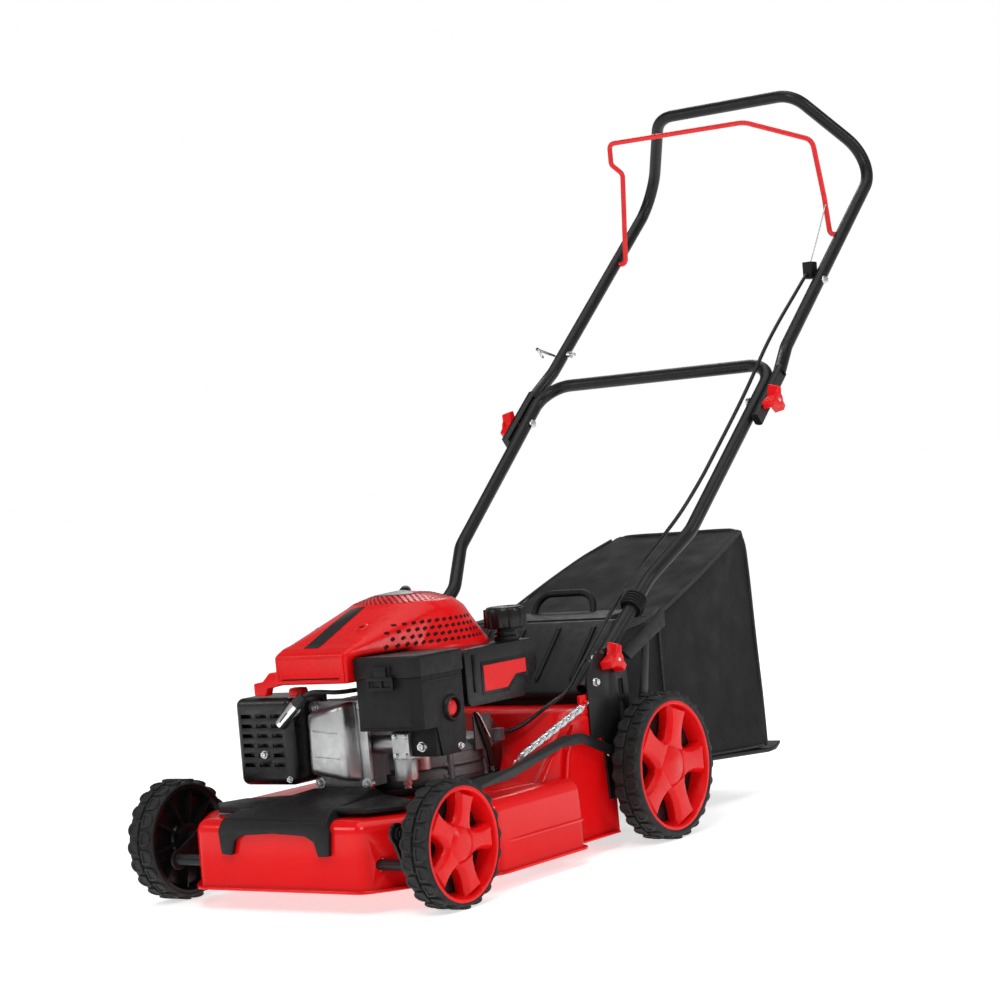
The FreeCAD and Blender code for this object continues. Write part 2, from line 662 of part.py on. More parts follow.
def starter_rope():
    """The end of the starter rope, between its reel and the grip."""
    return rod((GRIP_XY[0], GRIP_XY[1], 290), (GRIP_XY[0], GRIP_XY[1], 332), 1.8)


def starter_grip():
    """The T-shaped pull handle on its rope outlet."""
    x, y = GRIP_XY
    stem = turned_up([(1.8, 327), (9, 327), (7, 345), (7, 352), (0, 352), (0, 332), (1.8, 332)], (x, y))
    bar = rod((x - 20, y - 14, 360), (x + 20, y + 14, 360), 10)
    return join([stem, bar.fuse(rod((x, y, 345), (x, y, 356), 8))])


def carburettor():
    """The die-cast carburettor with its float bowl and intake pipe."""
    x = (CARB_X[0] + CARB_X[1]) / 2
    body = block(CARB_X, (84, 136), (164, 200))
    body = rounded(body, 4, lambda c, e: along_x(e))
    bowl = rod((x, 92, 140), (x, 92, 166), 14.5)
    nut = rod((x, 92, 134), (x, 92, 142), 6)
    drain = rod((x, 126, 148), (x, 126, 166), 10)
    throat = rod((CYLINDER_X + 42, 106, 182), (CARB_X[0] + 2, 106, 182), 12)
    neck = rod((x, 110, 198), (x, 110, FILTER_Z[0] - 0.1), 11)
    return join([body, bowl, nut, drain, throat, neck])


def air_filter_base():
    """The filter housing's body with the side wing that carries the primer."""
    body = filter_box(0, FILTER_Z[0], LID_Z).cut(filter_box(3, FILTER_Z[0] + 3, LID_Z + 1))
    boss = rod((FILTER_X[1] - 13, PRIMER[0], PRIMER[1]), (FILTER_X[1], PRIMER[0], PRIMER[1]), 16)
    back = FILTER_Y[1]
    wing = side_plate([(92, 206), (back, 206), (back - 2, 182), (back - 16, 168), (100, 168)],
                      (FILTER_X[1] - 22, FILTER_X[1]))
    return join([body, boss, wing]).cut(primer_pocket())


def filter_box(inset, bottom, top):
    """The filter housing's outline between two heights: square, with one corner cut off."""
    left, right = FILTER_X[0] + inset, FILTER_X[1] - inset
    front, back = FILTER_Y[0] + inset, FILTER_Y[1] - inset
    corner = 12
    outline = [(left, front), (right - corner, front), (right, front + corner), (right, back), (left, back)]
    return flat_plate(outline, (bottom, top))


def primer_pocket():
    """The round pocket that the primer button sits in."""
    return rod((FILTER_X[1] - 9, PRIMER[0], PRIMER[1]), (FILTER_X[1] + 5, PRIMER[0], PRIMER[1]), 12.4)


def primer_bulb():
    """The soft primer button in its round pocket."""
    x = FILTER_X[1]
    y, z = PRIMER
    base = rod((x - 3, y, z), (x + 3, y, z), 12)
    return rounded(base, 3, lambda c, e: c.x > x + 2)


def air_filter_lid():
    """The filter's lid, held by a latch on its front face."""
    lid = filter_box(-1.5, LID_Z + 0.3, FILTER_Z[1])
    lid = rounded(lid, 4, lambda c, e: c.z > FILTER_Z[1] - 0.1)
    lid = lid.cut(filter_box(2, LID_Z - 1, FILTER_Z[1] - 3))
    latch = block((FILTER_X[0] + 32, FILTER_X[0] + 58), (FILTER_Y[0] - 5, FILTER_Y[0] - 0.5), (256, 286))
    return join([lid, latch])


def fuel_tank():
    """The plastic tank beside the engine, with its filler neck."""
    body = tank_block(0)
    top = TANK_Z[1]
    neck = rod((CAP_XY[0], CAP_XY[1], top - 4), (CAP_XY[0], CAP_XY[1], 318), 13)
    bore = rod((CAP_XY[0], CAP_XY[1], top - 10), (CAP_XY[0], CAP_XY[1], 320), 10)
    return join([body, neck]).cut([tank_block(3), bore])


def tank_block(inset):
    """The tank as a solid block with a cut lower corner, smaller by inset all round."""
    front, back = TANK_Y[0] + inset, TANK_Y[1] - inset
    low, high = TANK_Z[0] + inset, TANK_Z[1] - inset
    body = side_plate([(front, low), (back - 34, low), (back, low + 34), (back, high), (front, high)],
                      (TANK_X[0] + inset, TANK_X[1] - inset))
    return rounded(body, 10 - inset, lambda c, e: along_x(e))


def fuel_cap():
    """The filler cap, whose skirt hangs round the tank's neck."""
    outline = [(0, 318.2), (14, 318.2), (14, 308), (24, 308), (26, 311), (26, 334), (23, 338), (0, 338)]
    return turned_up(outline, CAP_XY)


def brake_bracket():
    """The steel plate that carries the blade brake's lever."""
    foot = block((88, 100), (226, 262), (158, 161))
    wall = block((97, 100), (226, 262), (158, 202))
    y, z = BRAKE_PIVOT
    clip = block((99, 110), (266, 276), (164, 180)).fuse(block((97, 100), (260, 276), (160, 180)))
    pivot_hole = rod((90, y, z), (110, y, z), 2.5 + FIT)
    return join([foot, wall, clip]).cut([crankcase(), pivot_hole])


def brake_lever():
    """The lever that the stop cable pulls to free the brake."""
    y, z = BRAKE_PIVOT
    outline = [(y - 16, z + 21), (y - 8, z + 21), (y + 13, z - 24), (y + 20, z - 50), (y + 10, z - 52),
               (y + 3, z - 26)]
    bar = side_plate(outline, (100.4, 103.4))
    pin = rod((96.0, y, z), (105, y, z), 2.5)
    return bar.fuse(pin)


# ---- rear flap and bag --------------------------------------------------------------
def flap_point(along, off):
    """A (y, z) point on the flap, by distance along it and off it."""
    y, z = FLAP_AXIS
    return (y + along * math.cos(FLAP_RISE) - off * math.sin(FLAP_RISE),
            z + along * math.sin(FLAP_RISE) + off * math.cos(FLAP_RISE))


def rear_flap():
    """The plastic flap that rests on the bag's frame, with its steel hinge rod."""
    sheet = side_plate([flap_point(-2, -6), flap_point(0, 7), flap_point(122, 7), flap_point(130, 1),
                        flap_point(128, -3), flap_point(120, 3), flap_point(6, 3), flap_point(4, -6)],
                       (-FLAP_HALF, FLAP_HALF))
    skirt = side_plate([flap_point(4, -4), flap_point(4, 4), flap_point(120, 4), flap_point(114, -2)],
                       (FLAP_HALF - 3, FLAP_HALF))
    barrel = rod((-FLAP_HALF, FLAP_AXIS[0], FLAP_AXIS[1]), (FLAP_HALF, FLAP_AXIS[0], FLAP_AXIS[1]), 7)
    flap = join([sheet, barrel] + both_sides(skirt))
    hinge = rod((-FLAP_HALF - 8, FLAP_AXIS[0], FLAP_AXIS[1]), (FLAP_HALF + 8, FLAP_AXIS[0], FLAP_AXIS[1]), 3)
    return flap.fuse(hinge)


def flap_mounts():
    """The two ears on the deck that hold the flap's hinge rod."""
    ear = block((FLAP_HALF + 1, FLAP_HALF + 6), (410, 430), (TUNNEL_TOP - 1, 214))
    y, z = FLAP_AXIS
    hole = rod((FLAP_HALF - 2, y, z), (FLAP_HALF + 10, y, z), 3 + FIT)
    return both_sides(ear.cut(hole))


def bag_section(y, half, bottom, top):
    """One closed four-sided section of the bag."""
    points = [V(-half, y, bottom), V(half, y, bottom), V(half * 0.97, y, top), V(-half * 0.97, y, top)]
    return Part.makePolygon(points + points[:1])


def bag_body(inset):
    """The bag as a solid loft, smaller by inset all round."""
    rise = [(BAG_FRONT_Y, 148, 98, 252), (520, 150, 92, 286), (620, 150, 82, 296), (760, 148, 72, 344)]
    sections = [bag_section(y, half - inset, low + inset, top - inset) for y, half, low, top in rise]
    front = Part.makeLoft(sections, True, True)
    y_back = 890 - inset
    y_top = y_back + 34
    tail = [V(-148 + inset, y_back, 68 + inset), V(148 - inset, y_back, 68 + inset),
            V(118 - inset, y_top, 398 - inset), V(-118 + inset, y_top, 398 - inset)]
    back_wire = Part.makePolygon(tail + tail[:1])
    rear = Part.makeLoft([sections[-1], back_wire], True, True)
    return front.fuse(rear)


def grass_bag():
    """The fabric bag: a closed hull with its mouth open at the front."""
    wall = 3.0
    hull = bag_body(0).cut(bag_body(wall))
    mouth = block((-122, 122), (BAG_FRONT_Y - 5, BAG_FRONT_Y + 6), (108, 188))
    return hull.cut(mouth)


def bag_frame():
    """The stiff plastic frame round the bag's mouth and the carrying handle above it."""
    ring = block((-140, 140), (BAG_FRONT_Y - 8, BAG_FRONT_Y - 0.4), (100, 246))
    ring = ring.cut(block((-122, 122), (BAG_FRONT_Y - 10, BAG_FRONT_Y + 1), (108, 188)))
    ledge = side_plate([(522, 291), (522, 299), (594, 304), (594, 296.5)], (-116, 116))
    loop = swept(bent_line([(-52, 592, 298), (-46, 606, 330), (46, 606, 330), (52, 592, 298)], [26, 26]), 5)
    return [ring, join([ledge, loop])]


# ---- handles ------------------------------------------------------------------------
def lower_handle():
    """One bent tube: two cranked legs joined by the top crossbar."""
    leg = [(LEG_LOW_X, 380, 215.4), (LEG_LOW_X, 565, 348), (200, 632, 406), (LEG_HIGH_X, 900, 636)]
    path = leg + [(-x, y, z) for x, y, z in reversed(leg)]
    bar = tube(path, [60, 60, 46, 46, 60, 60], TUBE_R, TUBE_BORE)
    drilled = ((FOLD_LOW, PIN_R + FIT, 190), (CLAMP_LOW, BOLT_HOLE_R, 190), (FOLD_HIGH, BOLT_HOLE_R, 230))
    holes = [rod((-x, y, z), (x, y, z), radius) for (y, z), radius, x in drilled]
    return bar.cut(holes)


def handle_bolts():
    """The four bolts that the knobs turn on: two for each pair of legs."""
    inner = LEG_LOW_X - TUBE_R
    low = bolt(CLAMP_LOW, (inner - 5, 199), inner - 0.1)
    high = bolt(FOLD_HIGH, (191, 246), 195.5)
    return both_sides(low) + both_sides(high)


def bolt(centre, x, head_end):
    """A 6 mm bolt across the mower between two x values, with its head at the first."""
    y, z = centre
    shank = rod((x[0], y, z), (x[1], y, z), 3)
    head = rod((x[0], y, z), (head_end, y, z), 6.5)
    return join([shank, head])


def upper_handle():
    """One bent tube with cranked grips, ending in two crescent laps outside the lower legs."""
    leg = [(UPPER_X, 882, 620), (211, 930, 660), (211, 1276, 950), (125, 1173, 1066)]
    path = leg + [(-x, y, z) for x, y, z in reversed(leg)]
    bar = tube(path, [60, 62, 45, 45, 62, 60], TUBE_R, TUBE_BORE)
    return join([bar] + both_sides(crescent()))


def crescent():
    """The flattened lap at the foot of an upper leg, flat where it faces the lower leg."""
    ahead = V(0, 888 - 804, 625 - 554)
    flat = Part.makeCylinder(TUBE_R + 1, ahead.Length, V(UPPER_X + 1, 804, 554), ahead)
    y, z = FOLD_HIGH
    bolt_hole = rod((UPPER_X - 40, y, z), (UPPER_X + 40, y, z), BOLT_HOLE_R)
    inside = block((UPPER_X - 30, LAP_X[0]), (750, 880), (500, 640))
    outside = block((LAP_X[1], UPPER_X + 30), (750, 900), (500, 640))
    return flat.cut([bolt_hole, inside, outside])


def knob(x, y, z):
    """A three-winged clamp knob on an axis across the mower."""
    hub = rod((x, y, z), (x + 14, y, z), 9)
    wings = []
    for turn in range(3):
        wing = block((x + 2, x + 20), (y - 4.5, y + 4.5), (z, z + KNOB_R))
        wing = rounded(wing, 3, lambda c, e: c.z > z + 10)
        wing.rotate(V(x, y, z), ACROSS, 120 * turn + 15)
        wings.append(wing)
    bore = rod((x - 1, y, z), (x + 30, y, z), 3 + FIT)
    return join([hub] + wings).cut(bore)


def bail():
    """The bent wire stop bar that pivots inside the upper handle."""
    y, z = BAIL_AXIS
    lean = math.radians(3.0)

    def at(x, reach):
        """A point on the leaning bail, by its distance from the pivot."""
        return (x, y - reach * math.sin(lean), z + reach * math.cos(lean))

    path = [(203, y, z), (BAIL_X, y, z), at(187, 58), at(177, 150), at(60, 195), at(-195, 198),
            at(-196, 164), at(-176, 146), at(-183, 71), (-BAIL_X, y, z), (-203, y, z)]
    return swept(bent_line(path, [8, 200, 20, 60, 9, 10, 12, 200, 8]), BAIL_R)


def bail_holes():
    """The two holes in the upper handle that the bail's ends turn in."""
    y, z = BAIL_AXIS
    return [rod((side * 196, y, z), (side * 212, y, z), BAIL_R + FIT) for side in (1, -1)]


def rope_guide_hole():
    """The hole through the right leg for the rope guide's stem."""
    return rod((-230, GUIDE[0], GUIDE[1]), (-190, GUIDE[0], GUIDE[1]), 2.5 + FIT)


def rope_guide():
    """The wire hook on the right leg that the starter rope is hung in."""
    y, z = GUIDE
    stem = [(-188, y, z), (-226, y, z), (-232, y - 40, z + 12), (-214, y - 62, z + 16), (-222, y - 44, z + 3)]
    hook = swept(bent_line(stem, [4, 12, 8]), 2.5)
    nut = rod((-201.2, y, z), (-195, y, z), 5.5)
    return join([hook, nut])


def cable_fitting():
    """The plastic block on the left leg where the stop cable's sheath ends."""
    body = block((186, 200.4), (1046, 1068), (764, 790))
    return body.cut(Part.makeCylinder(TUBE_R + 0.2, 400, V(211, 930, 660), V(0, 346, 290)))


def cable_clip():
    """The ribbed collar that holds the cable to the left leg."""
    start = V(LEG_LOW_X, 512, 310)
    line = (V(LEG_LOW_X, 565, 348) - V(LEG_LOW_X, 380, 215.4)).normalize()
    outer = Part.makeCylinder(15, 24, start, line)
    ears = [Part.makeCylinder(17, 4, start + line * (4 + 12 * n), line) for n in range(2)]
    core = Part.makeCylinder(TUBE_R + 0.1, 60, start - line * 20, line)
    return join([outer] + ears).cut(core)


# The stop cable's route, in three lengths that end a hair short of each other at the folds.
UPPER_CABLE = [(193, 1043.8, 770.5), (191, 1003, 738), (190, 955, 702), (190, 906, 663), (191, 858.3, 619.3)]
LOWER_CABLE = [(191, 857.7, 618.7), (191, 812, 578), (188, 760, 531), (187, 705, 485), (184, 655, 443),
               (170, 606, 401), (154, 566, 366), (148, 524, 333), (149, 480.3, 299.3)]
DECK_CABLE = [(149, 479.7, 298.8), (150, 438, 268), (152, 398, 240), (152, 366, 213), (146, 332, 203),
              (136, 308, 189), (120, 290, 176), (105, 278.6, 172.6)]


def stop_cable_upper():
    """The bare wire from the bail and the sheath down to the upper fold."""
    wire = rod((190.8, 1130.2, 881), (193, 1062, 790.6), 0.9)
    return [cable("stop_cable_upper", UPPER_CABLE, CABLE_R), wire]


# ---- output -------------------------------------------------------------------------
def save(name, shapes):
    """Writes one sub-part, moved so that the origin is the footprint's middle."""
    if not isinstance(shapes, list):
        shapes = [shapes]
    moved = []
    for shape in shapes:
        for solid in shape.Solids:
            piece = solid.copy()
            piece.translate(V(0, -ORIGIN_Y, 0))
            moved.append(piece)
    result = moved[0] if len(moved) == 1 else Part.makeCompound(moved)
    result.exportStep("parts/" + name + ".step")


def save_wheels():
    """Four tyres and four rims."""
    places = {"front_left": (FRONT_TYRE_R, FRONT_RIM_R, 0.0, FRONT_TRACK_OUT, 1),
              "front_right": (FRONT_TYRE_R, FRONT_RIM_R, 0.0, FRONT_TRACK_OUT, -1),
              "rear_left": (REAR_TYRE_R, REAR_RIM_R, WHEELBASE, REAR_TRACK_OUT, 1),
              "rear_right": (REAR_TYRE_R, REAR_RIM_R, WHEELBASE, REAR_TRACK_OUT, -1)}
    for name, (outer, inner, y, track, side) in places.items():
        centre = (side * track, y, outer)
        save("tyre_" + name, tyre(outer, inner, centre, side))
        save("rim_" + name, rim(inner, centre, side))


def save_engine():
    """The engine, its cover and what hangs on it."""
    save("engine_base", engine_base())
    save("crankcase", crankcase())
    save("piston", piston())
    save("crankshaft", crankshaft())
    save("flywheel", flywheel())
    save("cylinder_head", cylinder_head())
    save("valve_cover", valve_cover())
    save("muffler", muffler())
    save("muffler_guard", muffler_guard())
    save("spark_plug", spark_plug())
    save("plug_lead", plug_lead())
    save("oil_cap", oil_cap())
    save("engine_cover", engine_cover())
    save("starter_grip", starter_grip())
    save("starter_rope", starter_rope())
    save("carburettor", carburettor())
    save("air_filter_base", air_filter_base())
    save("air_filter_lid", air_filter_lid())
    save("primer_bulb", primer_bulb())
    save("fuel_tank", fuel_tank())
    save("fuel_cap", fuel_cap())
    save("brake_bracket", brake_bracket())
    save("brake_lever", brake_lever())


def save_deck():
    """The deck, the height adjustment, the blade and the bag."""
    save("deck_shell", [join([deck_shell()] + flap_mounts())])
    save("front_trim", front_trim())
    save("bracket_left", bracket())
    save("bracket_right", mirrored(bracket()))
    save("front_axle", height_axle(front_pivot(), FRONT_TYRE_R, FRONT_TRACK_OUT))
    save("rear_axle", height_axle(rear_pivot(), REAR_TYRE_R, REAR_TRACK_OUT))
    save("height_link", height_link())
    save("height_spring", height_spring())
    save("height_lever", height_lever())
    save("lever_grip", lever_grip())
    save("blade", blade())
    save("blade_bolt", blade_bolt())
    save("rear_flap", rear_flap())
    save("grass_bag", grass_bag())
    save("bag_frame", bag_frame())


def save_handles():
    """The handle, its controls and cables."""
    save("lower_handle", lower_handle())
    save("upper_handle", upper_handle().cut(bail_holes() + [rope_guide_hole()]))
    save("handle_bolts", handle_bolts())
    high = knob(227.8, FOLD_HIGH[0], FOLD_HIGH[1])
    low = knob(BRACKET_X[1] + 0.3, CLAMP_LOW[0], CLAMP_LOW[1])
    save("knob_upper_left", high)
    save("knob_upper_right", mirrored(high))
    save("knob_lower_left", low)
    save("knob_lower_right", mirrored(low))
    save("bail", bail())
    save("rope_guide", rope_guide())
    save("cable_fitting", cable_fitting())
    save("cable_clip", cable_clip())
    save("stop_cable_upper", stop_cable_upper())
    save("stop_cable_lower", cable("stop_cable_lower", LOWER_CABLE, CABLE_R))
    save("stop_cable_deck", cable("stop_cable_deck", DECK_CABLE, CABLE_R))


os.makedirs("parts", exist_ok=True)
save_wheels()
save_deck()
save_engine()
save_handles()
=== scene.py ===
"""Looks for a petrol push lawn mower. It is laid out as an add-on and run as a script."""

import math
from typing import NamedTuple

import bmesh
import bpy
from mathutils import Matrix, Vector, noise
from mathutils.bvhtree import BVHTree


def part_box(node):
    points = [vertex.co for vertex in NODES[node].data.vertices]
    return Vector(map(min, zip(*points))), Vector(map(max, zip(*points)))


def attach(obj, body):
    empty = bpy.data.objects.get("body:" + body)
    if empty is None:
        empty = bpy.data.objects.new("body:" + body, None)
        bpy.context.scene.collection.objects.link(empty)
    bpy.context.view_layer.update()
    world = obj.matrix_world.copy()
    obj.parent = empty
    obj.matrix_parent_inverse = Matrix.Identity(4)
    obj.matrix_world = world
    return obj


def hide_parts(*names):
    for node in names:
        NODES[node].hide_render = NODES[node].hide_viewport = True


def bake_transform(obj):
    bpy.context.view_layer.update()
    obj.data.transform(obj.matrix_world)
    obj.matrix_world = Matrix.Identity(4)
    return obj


bl_info = {
    "name": "Push lawn mower",
    "version": (1, 0, 0),
    "blender": (4, 5, 0),
    "location": "View3D > Sidebar > Mower",
    "description": "Builds the finished pieces and materials of a petrol push lawn mower",
    "category": "Object",
}

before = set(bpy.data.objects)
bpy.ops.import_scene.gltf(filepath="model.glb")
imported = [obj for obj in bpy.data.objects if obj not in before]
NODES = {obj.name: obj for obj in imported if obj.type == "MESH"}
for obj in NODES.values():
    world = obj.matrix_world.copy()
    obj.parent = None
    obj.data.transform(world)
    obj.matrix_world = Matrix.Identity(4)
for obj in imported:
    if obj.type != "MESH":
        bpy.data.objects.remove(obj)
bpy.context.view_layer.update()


def middle_of(node):
    """The middle of a CAD node's box, in metres."""
    low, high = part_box(node)
    return (low + high) / 2


FRONT_AXLE_Y = middle_of("tyre_front_left").y
SIDES = {"left": 1.0, "right": -1.0}
UP = Vector((0, 0, 1))
DOWN = Vector((0, 0, -1))
BACK = Vector((0, 1, 0))
FORWARD = Vector((0, -1, 0))
LEFT = Vector((1, 0, 0))


def at(x, y, z):
    """A point in millimetres, from the middle of the front axle's line on the ground."""
    return Vector((x / 1000, y / 1000 + FRONT_AXLE_Y, z / 1000))


def mm(value):
    """Millimetres as metres."""
    return value / 1000


# The studio camera: its turn from the front, rise and roll, its lens in mm and its place.
VIEW_TURN = math.radians(35.786)
VIEW_RISE = math.radians(0.682)
VIEW_ROLL = math.radians(-5.014)
VIEW_LENS = 90.6
VIEW_PLACE = Vector((2.0393, -2.9592, 0.5143))


# ---- what a user would change -------------------------------------------------------
class MowerSizes(bpy.types.PropertyGroup):
    """Sizes of the details that the CAD model leaves plain."""
    lug_count: bpy.props.IntProperty(name="Tread lugs", default=20, min=8, max=40,
                                     description="Lugs in each row round a tyre")
    lug_height: bpy.props.FloatProperty(name="Lug height", default=0.0028, unit="LENGTH",
                                        description="How far a tread lug stands out")
    weave: bpy.props.FloatProperty(name="Weave pitch", default=0.0016, unit="LENGTH",
                                   description="From one thread of the bag to the next")
    spring_wire: bpy.props.FloatProperty(name="Spring wire", default=0.0014, unit="LENGTH",
                                         description="Radius of the balance spring's wire")
    sag: bpy.props.FloatProperty(name="Bag sag", default=0.007, unit="LENGTH",
                                 description="How far the bag's panels pull in between their seams")


class MowerColours(bpy.types.PropertyGroup):
    """Base colours of the main finishes."""
    red: bpy.props.FloatVectorProperty(name="Red", subtype="COLOR", default=(0.76, 0.0045, 0.006),
                                       description="Paint and plastic of the deck, cover and rims")
    black: bpy.props.FloatVectorProperty(name="Black", subtype="COLOR", default=(0.006, 0.006, 0.0064),
                                         description="Moulded plastic and powder coat")
    rubber: bpy.props.FloatVectorProperty(name="Rubber", subtype="COLOR", default=(0.014, 0.014, 0.0145),
                                          description="Tyres")
    alloy: bpy.props.FloatVectorProperty(name="Cast alloy", subtype="COLOR", default=(0.6, 0.605, 0.61),
                                         description="Valve cover and carburettor")


def sizes():
    """The sizes a user has chosen."""
    return bpy.context.scene.mower_sizes


def colours():
    """The colours a user has chosen."""
    return bpy.context.scene.mower_colours


# ---- materials ----------------------------------------------------------------------
PATTERN_LOW, PATTERN_HIGH = 0.3, 0.7        # where a noise's useful middle begins and ends


class Finish:
    """A material while it is being built."""

    def __init__(self, name, colour, roughness, metallic=0.0, coat=0.0, specular=0.5):
        self.material = bpy.data.materials.new(name)
        self.material.use_nodes = True
        self.material.diffuse_color = (*colour, 1.0)
        tree = self.material.node_tree
        self.nodes = tree.nodes
        self.links = tree.links
        self.shader = self.nodes["Principled BSDF"]
        self.shader.inputs["Base Color"].default_value = (*colour, 1.0)
        self.shader.inputs["Roughness"].default_value = roughness
        self.shader.inputs["Metallic"].default_value = metallic
        self.shader.inputs["Coat Weight"].default_value = coat
        self.shader.inputs["Coat Roughness"].default_value = 0.06
        self.shader.inputs["Specular IOR Level"].default_value = specular
        self.place = self.nodes.new("ShaderNodeTexCoord").outputs["Object"]
        self.height = None

    def noise(self, scale, detail=3.0, stretch=None):
        """A noise pattern; scale counts its features in a metre."""
        texture = self.nodes.new("ShaderNodeTexNoise")
        texture.inputs["Scale"].default_value = scale
        texture.inputs["Detail"].default_value = detail
        source = self.place
        if stretch:
            mapping = self.nodes.new("ShaderNodeMapping")
            mapping.inputs["Scale"].default_value = stretch
            self.links.new(source, mapping.inputs["Vector"])
            source = mapping.outputs["Vector"]
        self.links.new(source, texture.inputs["Vector"])
        return texture.outputs["Fac"]

    def spread(self, value, low, high):
        """Stretches a pattern's middle over a range of values."""
        node = self.nodes.new("ShaderNodeMapRange")
        node.inputs["From Min"].default_value = PATTERN_LOW
        node.inputs["From Max"].default_value = PATTERN_HIGH
        node.inputs["To Min"].default_value = low
        node.inputs["To Max"].default_value = high
        self.links.new(value, node.inputs["Value"])
        return node.outputs["Result"]

    def shade(self, value, first, second):
        """Colours a pattern from one colour to another."""
        ramp = self.nodes.new("ShaderNodeValToRGB")
        ramp.color_ramp.elements[0].color = (*first, 1.0)
        ramp.color_ramp.elements[0].position = PATTERN_LOW
        ramp.color_ramp.elements[1].color = (*second, 1.0)
        ramp.color_ramp.elements[1].position = PATTERN_HIGH
        self.links.new(value, ramp.inputs["Fac"])
        self.links.new(ramp.outputs["Color"], self.shader.inputs["Base Color"])

    def rough(self, value, low, high):
        """Makes a pattern's roughness run over a range."""
        self.links.new(self.spread(value, low, high), self.shader.inputs["Roughness"])

    def bump(self, value, strength, distance):
        """Adds a pattern's relief; distance is its depth in metres."""
        node = self.nodes.new("ShaderNodeBump")
        node.inputs["Strength"].default_value = strength
        node.inputs["Distance"].default_value = distance
        self.links.new(value, node.inputs["Height"])
        if self.height:
            self.links.new(self.height, node.inputs["Normal"])
        self.height = node.outputs["Normal"]
        self.links.new(self.height, self.shader.inputs["Normal"])


def scaled(colour, factor):
    return tuple(min(1.0, c * factor) for c in colour)


class Recipe(NamedTuple):
    """A finish made of noise. A noise is given by its scale, its detail and its stretch."""
    name: str
    colour: object              # one of MowerColours by name, or its red, green and blue
    roughness: float
    shade: tuple                # a noise, then two colours or two factors of the colour
    rough: tuple                # a noise, then the least and the greatest roughness, or nothing
    bumps: tuple                # for each bump: a noise, its strength and its depth in metres
    metallic: float = 0.0
    coat: float = 0.0
    specular: float = 0.5


